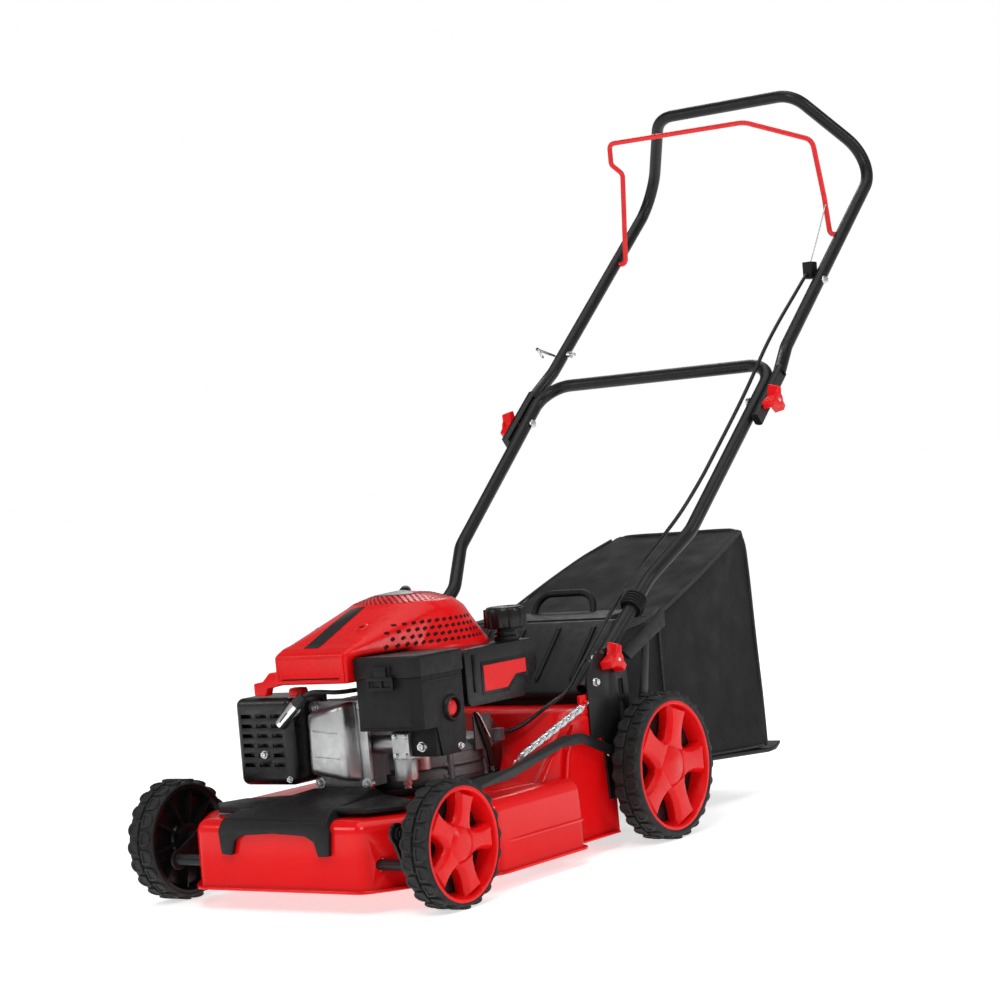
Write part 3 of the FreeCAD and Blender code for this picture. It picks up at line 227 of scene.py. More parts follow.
RECIPES = {
    # Thick gloss powder coat with a faint orange peel and a little polishing haze.
    "deck": Recipe("deck_red_paint", "red", 0.2, ((5,), 0.93, 1.05), ((38, 5), 0.15, 0.27),
                   (((330, 2), 0.22, 0.00008), ((9, 1), 0.12, 0.0006)), coat=0.14, specular=0.22),
    "red": Recipe("red_gloss_plastic", "red", 0.28, ((14,), 0.92, 1.04), ((60, 5), 0.22, 0.36),
                  (((700, 2), 0.18, 0.00005),), coat=0.05, specular=0.2),
    "red_wire": Recipe("red_wire_coat", "red", 0.35, ((60,), 0.85, 1.05), ((180, 4), 0.28, 0.45),
                       (((900, 2), 0.2, 0.00005),)),
    "red_rubber": Recipe("red_soft_rubber", "red", 0.42, ((80,), 0.8, 1.1), ((200, 4), 0.34, 0.52),
                         (((900, 2), 0.2, 0.00006),), specular=0.45),
    # Moulded plastic with a fine spark-eroded grain.
    "black": Recipe("black_grained_plastic", "black", 0.5, ((30,), 0.8, 1.35), ((90, 5), 0.4, 0.58),
                    (((2400, 2), 0.45, 0.00012),), specular=0.25),
    "smooth_black": Recipe("black_smooth_plastic", "black", 0.3, ((40,), 0.75, 1.2),
                           ((120, 4), 0.24, 0.38), (((1500, 2), 0.2, 0.00006),), specular=0.3),
    # Satin powder coat on the tubes and pressed plates.
    "coat": Recipe("black_powder_coat", "black", 0.38, ((20,), 0.8, 1.3), ((70, 5), 0.32, 0.46),
                   (((1300, 3), 0.35, 0.0001),), specular=0.3),
    # The guard's stove enamel, duller and patchier than the powder coat.
    "enamel": Recipe("black_heat_enamel", (0.008, 0.008, 0.008), 0.36,
                     ((45, 5), (0.005, 0.005, 0.005), (0.013, 0.0125, 0.012)),
                     ((110, 5), 0.26, 0.42), (((800, 4), 0.35, 0.00012),), specular=0.4),
    "tyre": Recipe("tyre_rubber", "rubber", 0.62, ((55, 5), 0.75, 1.5), ((130, 5), 0.52, 0.72),
                   (((1600, 3), 0.4, 0.00015),), specular=0.28),
    # Die-cast alloy with a fine cast skin, bright and grey.
    "alloy": Recipe("bright_cast_alloy", "alloy", 0.3, ((35, 5), 0.82, 1.08), ((160, 5), 0.3, 0.46),
                    (((1500, 4), 0.5, 0.00018),), metallic=1.0),
    "case": Recipe("grey_cast_case", (0.19, 0.193, 0.198), 0.42, ((35, 5), 0.82, 1.08),
                   ((160, 5), 0.42, 0.6), (((1100, 4), 0.5, 0.00018),), metallic=1.0),
    # Bright zinc plate with a slightly milky bloom.
    "zinc": Recipe("bright_zinc", (0.66, 0.67, 0.69), 0.26, ((220, 4), 0.8, 1.1),
                   ((260, 4), 0.18, 0.36), (((1500, 2), 0.15, 0.00005),), metallic=1.0),
    # Plain steel with lengthwise grinding marks.
    "steel": Recipe("ground_steel", (0.42, 0.42, 0.43), 0.35, ((60, 5), 0.7, 1.1),
                    ((120, 3, (0.2, 3, 3)), 0.28, 0.48),
                    (((900, 2, (0.05, 1, 1)), 0.3, 0.0001),), metallic=1.0),
    "shield": Recipe("polished_shield", (0.82, 0.82, 0.83), 0.1, ((90, 3), 0.88, 1.05),
                     ((300, 3), 0.07, 0.18), (((500, 2), 0.1, 0.00005),), metallic=1.0),
    "rubber": Recipe("black_soft_rubber", (0.016, 0.016, 0.017), 0.55,
                     ((70, 4), (0.012, 0.012, 0.012), (0.026, 0.026, 0.027)),
                     ((200, 4), 0.45, 0.65), (((1400, 3), 0.3, 0.0001),), specular=0.4),
    "film": Recipe("gloss_black_film", (0.008, 0.008, 0.009), 0.16,
                   ((25,), (0.006, 0.006, 0.006), (0.012, 0.012, 0.013)),
                   ((150, 4), 0.12, 0.24), (((260, 2), 0.1, 0.00005),), specular=0.55),
    "badge": Recipe("silver_grey_film", (0.42, 0.41, 0.41), 0.3,
                    ((200, 4), (0.34, 0.33, 0.33), (0.5, 0.49, 0.49)),
                    ((150, 4), 0.22, 0.4), (((600, 2), 0.15, 0.00005),), metallic=0.5),
    # Painted shade: the unlit inside of a vent, slot or hole, given as a flat dark colour.
    "hollow": Recipe("vent_shadow", (0.03, 0.002, 0.003), 0.8,
                     ((300,), (0.012, 0.001, 0.001), (0.05, 0.003, 0.004)),
                     (), (((900,), 0.2, 0.0001),), specular=0.2),
    # A fine diagonal braid.
    "cord": Recipe("braided_cord", (0.02, 0.02, 0.021), 0.7,
                   ((900, 2), (0.01, 0.01, 0.01), (0.06, 0.06, 0.062)),
                   ((400,), 0.6, 0.85), (((1100, 2), 0.6, 0.0003),), specular=0.3),
}


def mixed(recipe):
    """The material of a recipe."""
    colour = recipe.colour
    if isinstance(colour, str):
        colour = getattr(colours(), colour)
    finish = Finish(recipe.name, colour, recipe.roughness, recipe.metallic, recipe.coat, recipe.specular)
    pattern, *ends = recipe.shade
    first, second = (end if isinstance(end, tuple) else scaled(colour, end) for end in ends)
    finish.shade(finish.noise(*pattern), first, second)
    if recipe.rough:
        pattern, low, high = recipe.rough
        finish.rough(finish.noise(*pattern), low, high)
    for pattern, strength, depth in recipe.bumps:
        finish.bump(finish.noise(*pattern), strength, depth)
    return finish.material


THREADS_TO_WAVE = 3.2           # a wave texture's bands for each unit of its scale


def woven_cloth():
    """Coarse polyester weave that follows the piece's own map, one unit to a metre."""
    finish = Finish("black_woven_polyester", (0.0075, 0.0075, 0.008), 0.78, specular=0.16)
    finish.shader.inputs["Sheen Weight"].default_value = 0.04
    coordinate = finish.nodes.new("ShaderNodeUVMap")
    coordinate.uv_map = "weave"
    mesh = finish.nodes.new("ShaderNodeMath")
    mesh.operation = "MULTIPLY"
    for index, direction in enumerate(("X", "Y")):
        wave = finish.nodes.new("ShaderNodeTexWave")
        wave.bands_direction = direction
        wave.inputs["Scale"].default_value = 1 / sizes().weave / THREADS_TO_WAVE
        wave.inputs["Distortion"].default_value = 0.6
        wave.inputs["Detail"].default_value = 1.0
        finish.links.new(coordinate.outputs["UV"], wave.inputs["Vector"])
        finish.links.new(wave.outputs["Fac"], mesh.inputs[index])
    finish.shade(mesh.outputs[0], (0.004, 0.004, 0.0045), (0.03, 0.03, 0.032))
    finish.rough(finish.noise(25, 5), 0.62, 0.85)
    finish.bump(mesh.outputs[0], 0.7, 0.0004)
    finish.bump(finish.noise(28, 3), 0.35, 0.002)
    return finish.material


def floor_paint():
    """A pale matt floor that glows a little, so that it runs into the bright walls."""
    finish = Finish("pale_floor", (0.8, 0.8, 0.8), 0.6)
    finish.shader.inputs["Emission Color"].default_value = (1.0, 1.0, 1.0, 1.0)
    finish.shader.inputs["Emission Strength"].default_value = 0.62
    finish.rough(finish.noise(3), 0.5, 0.7)
    return finish.material


MAKERS = {"cloth": woven_cloth, "floor": floor_paint}
FINISHES = {}


def finish_of(name):
    """The material of that name, made when it is first asked for."""
    if name not in FINISHES:
        FINISHES[name] = MAKERS[name]() if name in MAKERS else mixed(RECIPES[name])
    return FINISHES[name]


# ---- shapes -------------------------------------------------------------------------
WELD = 1e-6                     # points closer than this, in metres, are one


def add_object(name, data):
    """Puts a mesh, curve, lamp or camera into the scene."""
    thing = bpy.data.objects.new(name, data)
    bpy.context.scene.collection.objects.link(thing)
    return thing


def add_box(bm, low, high):
    """A box between two opposite corners."""
    size = high - low
    place = Matrix.Translation((low + high) / 2) @ Matrix.Diagonal((*size, 1.0))
    return bmesh.ops.create_cube(bm, size=1.0, matrix=place)["verts"]


def facing(start, end):
    """A matrix whose Z runs from one point to another, with its origin between them."""
    turn = (end - start).to_track_quat("Z", "Y").to_matrix().to_4x4()
    return Matrix.Translation((start + end) / 2) @ turn


def add_rod(bm, start, end, radius, end_radius=None, sides=24):
    """A round rod between two points, which may taper."""
    bmesh.ops.create_cone(bm, cap_ends=True, segments=sides, radius1=radius,
                          radius2=radius if end_radius is None else end_radius,
                          depth=(end - start).length, matrix=facing(start, end))


def add_turned(bm, outline, place, steps):
    """An outline of (radius, height) turned round Z, then put in place."""
    verts = [bm.verts.new((radius, 0.0, height)) for radius, height in outline]
    edges = [bm.edges.new(pair) for pair in zip(verts, verts[1:])]
    before = set(bm.verts) - set(verts)
    bmesh.ops.spin(bm, geom=verts + edges, cent=(0, 0, 0), axis=(0, 0, 1), dvec=(0, 0, 0),
                   angle=2 * math.pi, steps=steps, use_merge=True, use_duplicate=False)
    made = [v for v in bm.verts if v not in before]
    bmesh.ops.remove_doubles(bm, verts=made, dist=WELD)
    made = [v for v in bm.verts if v not in before]
    bmesh.ops.transform(bm, matrix=place, verts=made)


def add_prism(bm, outline, sweep):
    """A flat outline pushed along a vector."""
    face = bm.faces.new([bm.verts.new(point) for point in outline])
    made = bmesh.ops.extrude_face_region(bm, geom=[face])["geom"]
    top = [item for item in made if isinstance(item, bmesh.types.BMVert)]
    bmesh.ops.translate(bm, verts=top, vec=sweep)
    return list(face.verts) + top


def soften(bm, width, segments, angle=30.0, wanted=None):
    """Rounds the edges that turn by more than an angle."""
    bmesh.ops.recalc_face_normals(bm, faces=bm.faces)
    edges = [e for e in bm.edges if len(e.link_faces) == 2
             and e.calc_face_angle(0.0) > math.radians(angle)
             and (wanted is None or wanted((e.verts[0].co + e.verts[1].co) / 2))]
    bmesh.ops.bevel(bm, geom=edges, offset=width, offset_type="OFFSET", affect="EDGES",
                    segments=segments, profile=0.5, material=-1, clamp_overlap=True)


def add_screw(bm, centre, outwards, radius):
    """A flanged hexagon screw head that stands on a face."""
    out = outwards.normalized() * radius
    foot, top, tip = centre + out * 0.35, centre + out * 1.1, centre + out * 1.16
    add_rod(bm, centre, foot, radius * 1.35, radius * 1.2, 24)
    add_rod(bm, foot, top, radius, radius * 0.94, 6)
    add_rod(bm, top, tip, radius * 0.55, radius * 0.4, 12)


def dress(piece, nodes=(), body=None):
    """Hides the CAD nodes that a piece stands for, and puts the piece on the body that it rides on."""
    if body:
        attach(piece, body)
    if nodes:
        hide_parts(*nodes)


def make_piece(name, bm, finishes, body, nodes=(), smooth=35.0, recalc=True):
    """Turns a bmesh into a finished piece that rides on a body."""
    if recalc:
        bmesh.ops.remove_doubles(bm, verts=bm.verts, dist=WELD)
        bmesh.ops.recalc_face_normals(bm, faces=bm.faces)
    mesh = bpy.data.meshes.new(name)
    bm.to_mesh(mesh)
    bm.free()
    mesh.shade_smooth()
    mesh.set_sharp_from_angle(angle=math.radians(smooth))
    for finish in finishes:
        mesh.materials.append(finish_of(finish))
    piece = add_object(name, mesh)
    dress(piece, nodes, body)
    return piece


def paint_node(node, finish):
    """Gives a CAD node a finish."""
    mesh = NODES[node].data
    for index in range(len(mesh.materials)):
        mesh.materials[index] = finish_of(finish)
    if not mesh.materials:
        mesh.materials.append(finish_of(finish))


def softened_copy(node, name, finish, body, width, angle=40.0, segments=2):
    """A copy of a CAD node with its corners rounded by a width in mm, which stands for it."""
    bm = bmesh.new()
    bm.from_mesh(NODES[node].data)
    bmesh.ops.remove_doubles(bm, verts=bm.verts, dist=2e-6)
    bmesh.ops.dissolve_limit(bm, angle_limit=math.radians(1.5), verts=bm.verts, edges=bm.edges,
                             use_dissolve_boundaries=False, delimit={"NORMAL"})
    if width:
        soften(bm, mm(width), segments, angle)
    make_piece(name, bm, [finish], body, [node])


# The CAD nodes that only want softer corners: for each step, the node, the piece's name, its
# finish and body, the corners' width in mm, then the least angle of a corner and its facets.
COPIES = {
    "deck": (("deck_shell", "deck_pressing", "deck", "mower", 0.8, 50),),
    "adjuster": (
        ("bracket_left", "bracket_plate_left", "coat", "mower", 0.7),
        ("bracket_right", "bracket_plate_right", "coat", "mower", 0.7),
        ("front_axle", "front_height_axle", "coat", "front_height", 0.5),
        ("rear_axle", "rear_height_axle", "coat", "rear_height", 0.5),
        ("height_link", "height_link_bar", "coat", "link", 0.5),
        ("height_lever", "height_lever_bar", "coat", "rear_height", 0.8),
        ("lever_grip", "height_lever_paddle", "black", "rear_height", 1.4, 40, 3),
    ),
    "engine": (
        ("engine_base", "engine_flange", "coat", "mower", 0.8),
        ("crankcase", "crankcase_casting", "case", "mower", 1.4),
        ("cylinder_head", "cylinder_head_casting", "case", "mower", 0.5, 40, 1),
        ("carburettor", "carburettor_casting", "alloy", "mower", 1.0),
        ("muffler", "exhaust_box", "enamel", "mower", 0.5, 40, 1),
        ("muffler_guard", "exhaust_guard", "enamel", "mower", 0.5, 50, 1),
        ("brake_bracket", "brake_bracket_plate", "case", "mower", 0.4, 40, 1),
        ("brake_lever", "brake_arm", "coat", "brake", 0.5, 40, 1),
    ),
    "intake": (
        ("air_filter_base", "filter_housing", "black", "mower", 1.6, 40, 3),
        ("air_filter_lid", "filter_cover", "black", "filter_lid", 1.6, 28, 3),
        ("fuel_tank", "fuel_tank_moulding", "smooth_black", "mower", 3.0, 50, 3),
    ),
    "cutter": (("blade", "cutting_blade", "steel", "crank", 0.4, 40, 1),),
    "bag": (
        ("bag_frame", "bag_frame_moulding", "black", "bag", 1.2, 40, 3),
        ("rear_flap", "rear_flap_moulding", "black", "flap", 1.2, 40, 3),
    ),
    "handle": (
        ("lower_handle", "lower_tube", "coat", "lower_bar", 0.0),
        ("upper_handle", "upper_tube", "coat", "upper_bar", 0.0),
        ("bail", "stop_bar", "red_wire", "bail", 0.0),
        ("handle_bolts", "fold_bolts", "zinc", "lower_bar", 0.6),
        ("rope_guide", "rope_hook", "zinc", "upper_bar", 0.0),
        ("cable_fitting", "cable_end_block", "black", "upper_bar", 1.4, 40, 3),
    ),
}


def make_screws(name, body, rows):
    """One piece of zinc screws; a row is x, y and z, the way the head faces, and its radius."""
    bm = bmesh.new()
    for x, y, z, direction, radius in rows:
        add_screw(bm, at(x, y, z), direction, mm(radius))
    make_piece(name, bm, ["zinc"], body, smooth=28)


def copy_nodes(step):
    """Makes the softened copies that belong to one step."""
    for row in COPIES[step]:
        softened_copy(*row)


def cable(name, points, radius, finish, resolution=10, roundness=3):
    """A round cable along a smooth line through its route, as a mesh."""
    curve = bpy.data.curves.new(name + "_route", "CURVE")
    curve.dimensions = "3D"
    curve.bevel_depth = radius
    curve.bevel_resolution = roundness
    curve.resolution_u = resolution
    curve.use_fill_caps = True
    spline = curve.splines.new("NURBS")
    spline.points.add(len(points) - 1)
    for control, point in zip(spline.points, points):
        control.co = (*point, 1.0)
    spline.order_u = 3
    spline.use_endpoint_u = True
    source = add_object(name + "_route", curve)
    bpy.context.view_layer.update()
    finished = source.evaluated_get(bpy.context.evaluated_depsgraph_get())
    mesh = bpy.data.meshes.new_from_object(finished)
    bpy.data.objects.remove(source)
    mesh.materials.clear()
    mesh.materials.append(finish_of(finish))
    mesh.shade_smooth()
    mesh.set_sharp_from_angle(angle=math.radians(50))
    return add_object(name, mesh)


def outwards(point, side):
    """A matrix at a point whose Z faces away from the mower's middle and whose Y is up."""
    columns = (Vector((0, side, 0)), Vector((0, 0, 1)), Vector((side, 0, 0)))
    return Matrix.Translation(point) @ Matrix(columns).transposed().to_4x4()


def looking(point, direction):
    """A matrix at a point, whose Z runs along a direction."""
    return Matrix.Translation(point) @ direction.to_track_quat("Z", "Y").to_matrix().to_4x4()


def metres(outline):
    return [(mm(a), mm(b)) for a, b in outline]


def side_outline(points, x):
    """Points of (y, z) millimetres on a plane across the mower."""
    return [at(x, y, z) for y, z in points]


# ---- wheels -------------------------------------------------------------------------
WHEEL_WIDTH = 41.0
LUG_INNER = 18.5                # from the tyre's outer face to a lug's inner end
LUG_SHOULDER = 1.6              # from the outer face to a lug's rounded end
LUG_ROUND = 8.5                 # how far a lug's rounded end reaches
LUG_DEPTH = 6.5                 # from a lug's sunk foot to its top
LUG_SHARE = 0.4                 # half a lug's width as a share of the pitch
LUG_COUNT_RADIUS = 77.0         # the tyre radius that the lug count is given for
RIM_RADII = {"front": 67.0, "rear": 84.5}
SPOKES = 5
SPOKE_TURN = -18                # degrees from a wheel's top to its first spoke
BACK_RIBS = 10
BLACK_DEPTH = 25.0              # how deep inside a rim its black half begins


def lug_outline(half):
    """A lug seen from above: square at the tyre's centre groove, round at its shoulder."""
    points = [Vector((-half, -mm(LUG_INNER), 0)), Vector((half, -mm(LUG_INNER), 0))]
    reach = mm(LUG_ROUND)
    for step in range(9):
        angle = math.pi * step / 8
        drop = reach * math.sin(angle) - mm(LUG_SHOULDER) - reach
        points.append(Vector((half * math.cos(angle), drop, 0)))
    return points


def add_lug(bm, radius, half):
    """One tread lug with a dimple, wrapped round the tyre at its top."""
    depth = mm(LUG_DEPTH)
    add_prism(bm, lug_outline(half), Vector((0, 0, depth)))
    bmesh.ops.recalc_face_normals(bm, faces=bm.faces)
    top = [f for f in bm.faces if f.normal.z > 0.9]
    edges = [e for f in top for e in f.edges]
    bmesh.ops.bevel(bm, geom=edges, offset=mm(0.9), offset_type="OFFSET", affect="EDGES", segments=2,
                    profile=0.5, material=-1)
    top = max((f for f in bm.faces if f.normal.z > 0.9), key=lambda f: f.calc_area())
    bmesh.ops.inset_region(bm, faces=[top], thickness=mm(2.6), depth=0.0)
    bmesh.ops.inset_region(bm, faces=[top], thickness=mm(0.7), depth=-mm(1.3))
    for vert in bm.verts:
        angle = vert.co.x / radius
        reach = radius - depth + vert.co.z
        vert.co = Vector((reach * math.sin(angle), reach * math.cos(angle), vert.co.y))


def lug_mesh(radius, half):
    """One lug as a mesh that the tread repeats."""
    bm = bmesh.new()
    add_lug(bm, radius, half)
    mesh = bpy.data.meshes.new("lug")
    bm.to_mesh(mesh)
    bm.free()
    return mesh


def add_tread(bm, radius, place):
    """Two staggered rows of lugs."""
    count = round(sizes().lug_count * radius / mm(LUG_COUNT_RADIUS))
    pitch = 2 * math.pi / count
    lug = lug_mesh(radius, LUG_SHARE * pitch * radius)
    flipped = Matrix.Translation((0, 0, -mm(WHEEL_WIDTH))) @ Matrix.Diagonal((1, 1, -1, 1))
    for row, mirror in ((0, Matrix.Identity(4)), (0.5, flipped)):
        for step in range(count):
            known = set(bm.verts)
            bm.from_mesh(lug)
            added = [vert for vert in bm.verts if vert not in known]
            turn = Matrix.Rotation((step + row) * pitch, 4, "Z")
            bmesh.ops.transform(bm, matrix=place @ turn @ mirror, verts=added)
    bpy.data.meshes.remove(lug)


def tyre_outline(rim, radius):
    """The tyre's section below its lugs: bead, flat wall, round shoulder and centre groove."""
    base = radius - 1000 * sizes().lug_height
    half = [(rim, -4), (rim + 3, -0.9), (rim + 4, -0.3), (base - 4.5, -0.3), (base - 1.8, -1.6),
            (base - 0.4, -4), (base, -7), (base, -17.5), (base - 1.4, -18.6)]
    far = [(r, -WHEEL_WIDTH - z) for r, z in reversed(half)]
    return metres(half + far + half[:1])


def rim_outline(radius):
    """The rim's barrel: a thin lip, a cone inside it and a seat for the tyre."""
    return metres([(radius, -4), (radius + 2.4, -2.2), (radius + 2.2, -1.1), (radius - 1.2, -0.8),
                   (radius - 2.6, -2), (radius - 4, -7), (radius - 9, -24), (radius - 9, -27),
                   (radius - 4, -36), (radius - 2, -40), (radius + 2, -40), (radius + 2.4, -38.5),
                   (radius, -37), (radius, -4)])


def spoke_outline(hub, reach):
    """A spoke: broad at the hub, waisted, and flared where it meets the rim."""
    root = 0.33 * reach
    waist = 0.205 * reach
    foot = 0.25 * reach
    side = [(root, hub * 0.72), (waist * 1.1, hub * 1.22), (waist, reach * 0.6),
            (waist * 1.05, reach * 0.76), (foot, reach * 0.9), (foot * 1.12, reach)]
    return side + [(-x, y) for x, y in reversed(side)]


def add_spoke(bm, hub, reach, place):
    """One deep spoke with a chamfered plateau on its outer face."""
    outline = [Vector((mm(x), mm(y), -mm(23))) for x, y in spoke_outline(hub, reach)]
    verts = add_prism(bm, outline, Vector((0, 0, mm(12.5))))
    own = set(verts)
    faces = [f for f in bm.faces if all(v in own for v in f.verts)]
    bmesh.ops.recalc_face_normals(bm, faces=faces)
    top = max(faces, key=lambda f: f.calc_center_median().z)
    made = bmesh.ops.inset_region(bm, faces=[top], thickness=mm(5.2), depth=mm(7.0), use_even_offset=True)
    ring = {v for f in made["faces"] for v in f.verts} | set(top.verts) | own
    bmesh.ops.transform(bm, matrix=place, verts=list(ring))


def add_wheel_face(bm, radius, place):
    """The red half of a wheel: barrel, five spokes and a flat hub cap on its bevel."""
    hub = 0.33 * radius
    reach = radius - 4
    for step in range(SPOKES):
        turn = Matrix.Rotation(math.radians(360 / SPOKES * step + SPOKE_TURN), 4, "Z")
        add_spoke(bm, hub, reach, place @ turn)
    cap = metres([(0, -1.6), (hub * 0.62, -1.6), (hub * 0.66, -2.2), (hub * 0.7, -2.2),
                  (hub * 1.02, -6.5), (hub * 1.06, -10), (hub * 1.06, -24), (0, -24)])
    add_turned(bm, cap, place, 64)


def add_wheel_back(bm, radius, place):
    """The black half: a web with windows between ten ribs, and a hub tube."""
    hub = 0.3 * radius
    add_turned(bm, metres([(7, -24), (radius - 8, -24), (radius - 8, -26.5), (hub + 2, -26.5), (hub, -29),
                           (hub, -38), (hub - 5, -39.5), (7, -39.5), (7, -24)]), place, 64)
    for step in range(BACK_RIBS):
        turn = place @ Matrix.Rotation(math.radians(360 / BACK_RIBS * step + 10), 4, "Z")
        low = Vector((-mm(1.2), mm(hub - 2), -mm(38)))
        high = Vector((mm(1.2), mm(radius - 6), -mm(26)))
        bmesh.ops.transform(bm, matrix=turn, verts=add_box(bm, low, high))


def make_rim(name, body, rim, centre, side):
    """A rim of red spokes on a black back."""
    place = outwards(centre, side)
    bm = bmesh.new()
    add_turned(bm, rim_outline(rim), place, 96)
    add_wheel_face(bm, rim, place)
    red_faces = len(bm.faces)
    add_wheel_back(bm, rim, place)
    bm.faces.ensure_lookup_table()
    for index, face in enumerate(bm.faces):
        inside = side * (centre.x - face.calc_center_median().x) > mm(BLACK_DEPTH)
        face.material_index = 1 if index >= red_faces or inside else 0
    soften(bm, mm(1.3), 2, 30, lambda point: side * (centre.x - point.x) < mm(BLACK_DEPTH - 1)
           and (point - centre).yz.length < mm(rim - 6))
    make_piece("spoked_" + name, bm, ["red", "smooth_black"], body, ["rim_" + name], 32)


def make_wheel(name, body):
    """A tyre with its tread, and the rim inside it."""
    low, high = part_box("tyre_" + name)
    side = 1.0 if (low + high).x > 0 else -1.0
    radius = (high.z - low.z) / 2
    centre = (low + high) / 2
    centre.x = high.x if side > 0 else low.x
    place = outwards(centre, side)
    rim = RIM_RADII[name.split("_")[0]]
    bm = bmesh.new()
    add_turned(bm, tyre_outline(rim, 1000 * radius), place, 96)
    add_tread(bm, radius, place)
    make_piece("tread_" + name, bm, ["tyre"], body, ["tyre_" + name], 40)
    make_rim(name, body, rim, centre, side)


class MOWER_OT_wheels(bpy.types.Operator):
    """Four tyres with two rows of lugs, on five-spoked rims with black backs"""
    bl_idname = "mower.wheels"
    bl_label = "Wheels"

    def execute(self, context):
        for name in ("front_left", "front_right", "rear_left", "rear_right"):
            make_wheel(name, "wheel_" + name)
        return {"FINISHED"}


# ---- deck ---------------------------------------------------------------------------
ENGINE_Y = 225.0                # the crankshaft's line
BOLT_CIRCLE = 100.0             # from the crankshaft to the engine's mounting bolts


def add_seam(bm, side):
    """The folded joint that stands up the deck's side behind the blade housing."""
    outline = [(302, 24), (302, 112), (308, 140), (330, 176), (334, 172), (313, 136), (307, 110),
               (307, 24)]
    x = side * 181
    add_prism(bm, side_outline(outline, x - side * 6), Vector((side * mm(9), 0, 0)))


# The deck's lower edge seen from above, as x and y from the middle of its front to its tail.
DECK_EDGE = ((0, -62), (118, -62), (140, -54), (172, -6), (178, 12), (178, 56), (184, 72),
             (202, 101), (208, 118), (208, 288), (206, 299), (188, 306), (180, 312), (178, 322),
             (178, 414))


def lip_route(side):
    """The deck's lower edge on one side, from the middle of its front to its tail."""
    route = []
    for x, y in DECK_EDGE:
        along = max(0.0, min(1.0, (y - 10) / 60))
        outer = 5.0 - 1.2 * (x > 200)
        height = 28.0 - 6.0 * along
        reach = 0.0 if x == 0 else side * (x + (outer if y > -30 else 1.5))
        route.append(at(reach, y - (outer if y < -50 else 0.0), height))
    return route


def bead_route(side):
    """A pressed bead half way up the deck's side, from behind the front wheel to the tail."""
    return [at(side * (x - 0.6), y, 58) for x, y in DECK_EDGE if 90 < y < 310]


class MOWER_OT_deck(bpy.types.Operator):
    """The pressed-steel deck with its seams and lip, and the trim over its front edge"""
    bl_idname = "mower.deck"
    bl_label = "Deck and trim"

    def execute(self, context):
        copy_nodes("deck")
        bm = bmesh.new()
        for side in SIDES.values():
            add_seam(bm, side)
        soften(bm, mm(1.4), 3)
        make_piece("deck_side_seams", bm, ["deck"], "mower")
        for name, side in SIDES.items():
            lip = cable("deck_rolled_edge_" + name, lip_route(side), mm(2.1), "deck", 8, 2)
            dress(lip, body="mower")
            bead = cable("deck_pressed_bead_" + name, bead_route(side), mm(2.6), "deck", 8, 2)
            dress(bead, body="mower")
        self.make_trim()
        self.make_mounts()
        return {"FINISHED"}

    def make_trim(self):
        """The black cover over the deck's front edge: a rising hump, two wings and two legs."""
        bm = bmesh.new()
        hump = [(-66.5, 100), (-66.5, 110), (-62, 115), (-42, 122.5), (20, 126.5), (70, 132), (84, 130),
                (84, 118.4), (-50, 110)]
        verts = add_prism(bm, side_outline(hump, -86), Vector((mm(172), 0, 0)))
        for vert in verts:
            along = (vert.co.y - at(0, -68.5, 0).y) / mm(152.5)
            above = max(0.0, (vert.co.z - mm(118.4)) / mm(13.6))
            vert.co.x *= 1 - 0.26 * along - 0.22 * above
        apron = [(-86, 71), (-69, 70), (-64, 88), (-50, 95), (0, 97.5), (50, 95), (64, 88),
                 (69, 70), (86, 71), (89, 100), (82, 113), (-82, 113), (-89, 100)]
        add_prism(bm, [at(x, -69.5, z) for x, z in apron], Vector((0, mm(8.5), 0)))
        wing = [(60, -36), (118, -32), (151, 2), (138, 42), (60, 80)]
        for side in SIDES.values():
            add_prism(bm, [at(side * x, y, 116) for x, y in wing], Vector((0, 0, mm(7.5))))
        soften(bm, mm(2.4), 3, 20)
        make_piece("front_trim_moulding", bm, ["black"], "mower", ["front_trim"])

    def make_mounts(self):
        """The four bolts and washers that hold the engine's flange to the deck."""
        bm = bmesh.new()
        for turn in (40, 140, 220, 320):
            x = BOLT_CIRCLE * math.cos(math.radians(turn))
            y = ENGINE_Y + BOLT_CIRCLE * math.sin(math.radians(turn))
            add_screw(bm, at(x, y, 122), UP, mm(5))
        make_piece("engine_bolts", bm, ["zinc"], "mower", smooth=25)


SPRING_RADIUS = 5.6             # to the outside of the coil
SPRING_HOOK = 15.0              # from the lower end to the first turn
SPRING_HOOKS = 34.0             # the length that isn't coiled
SPRING_PITCH = 2.35             # of the coil, in radii of its wire


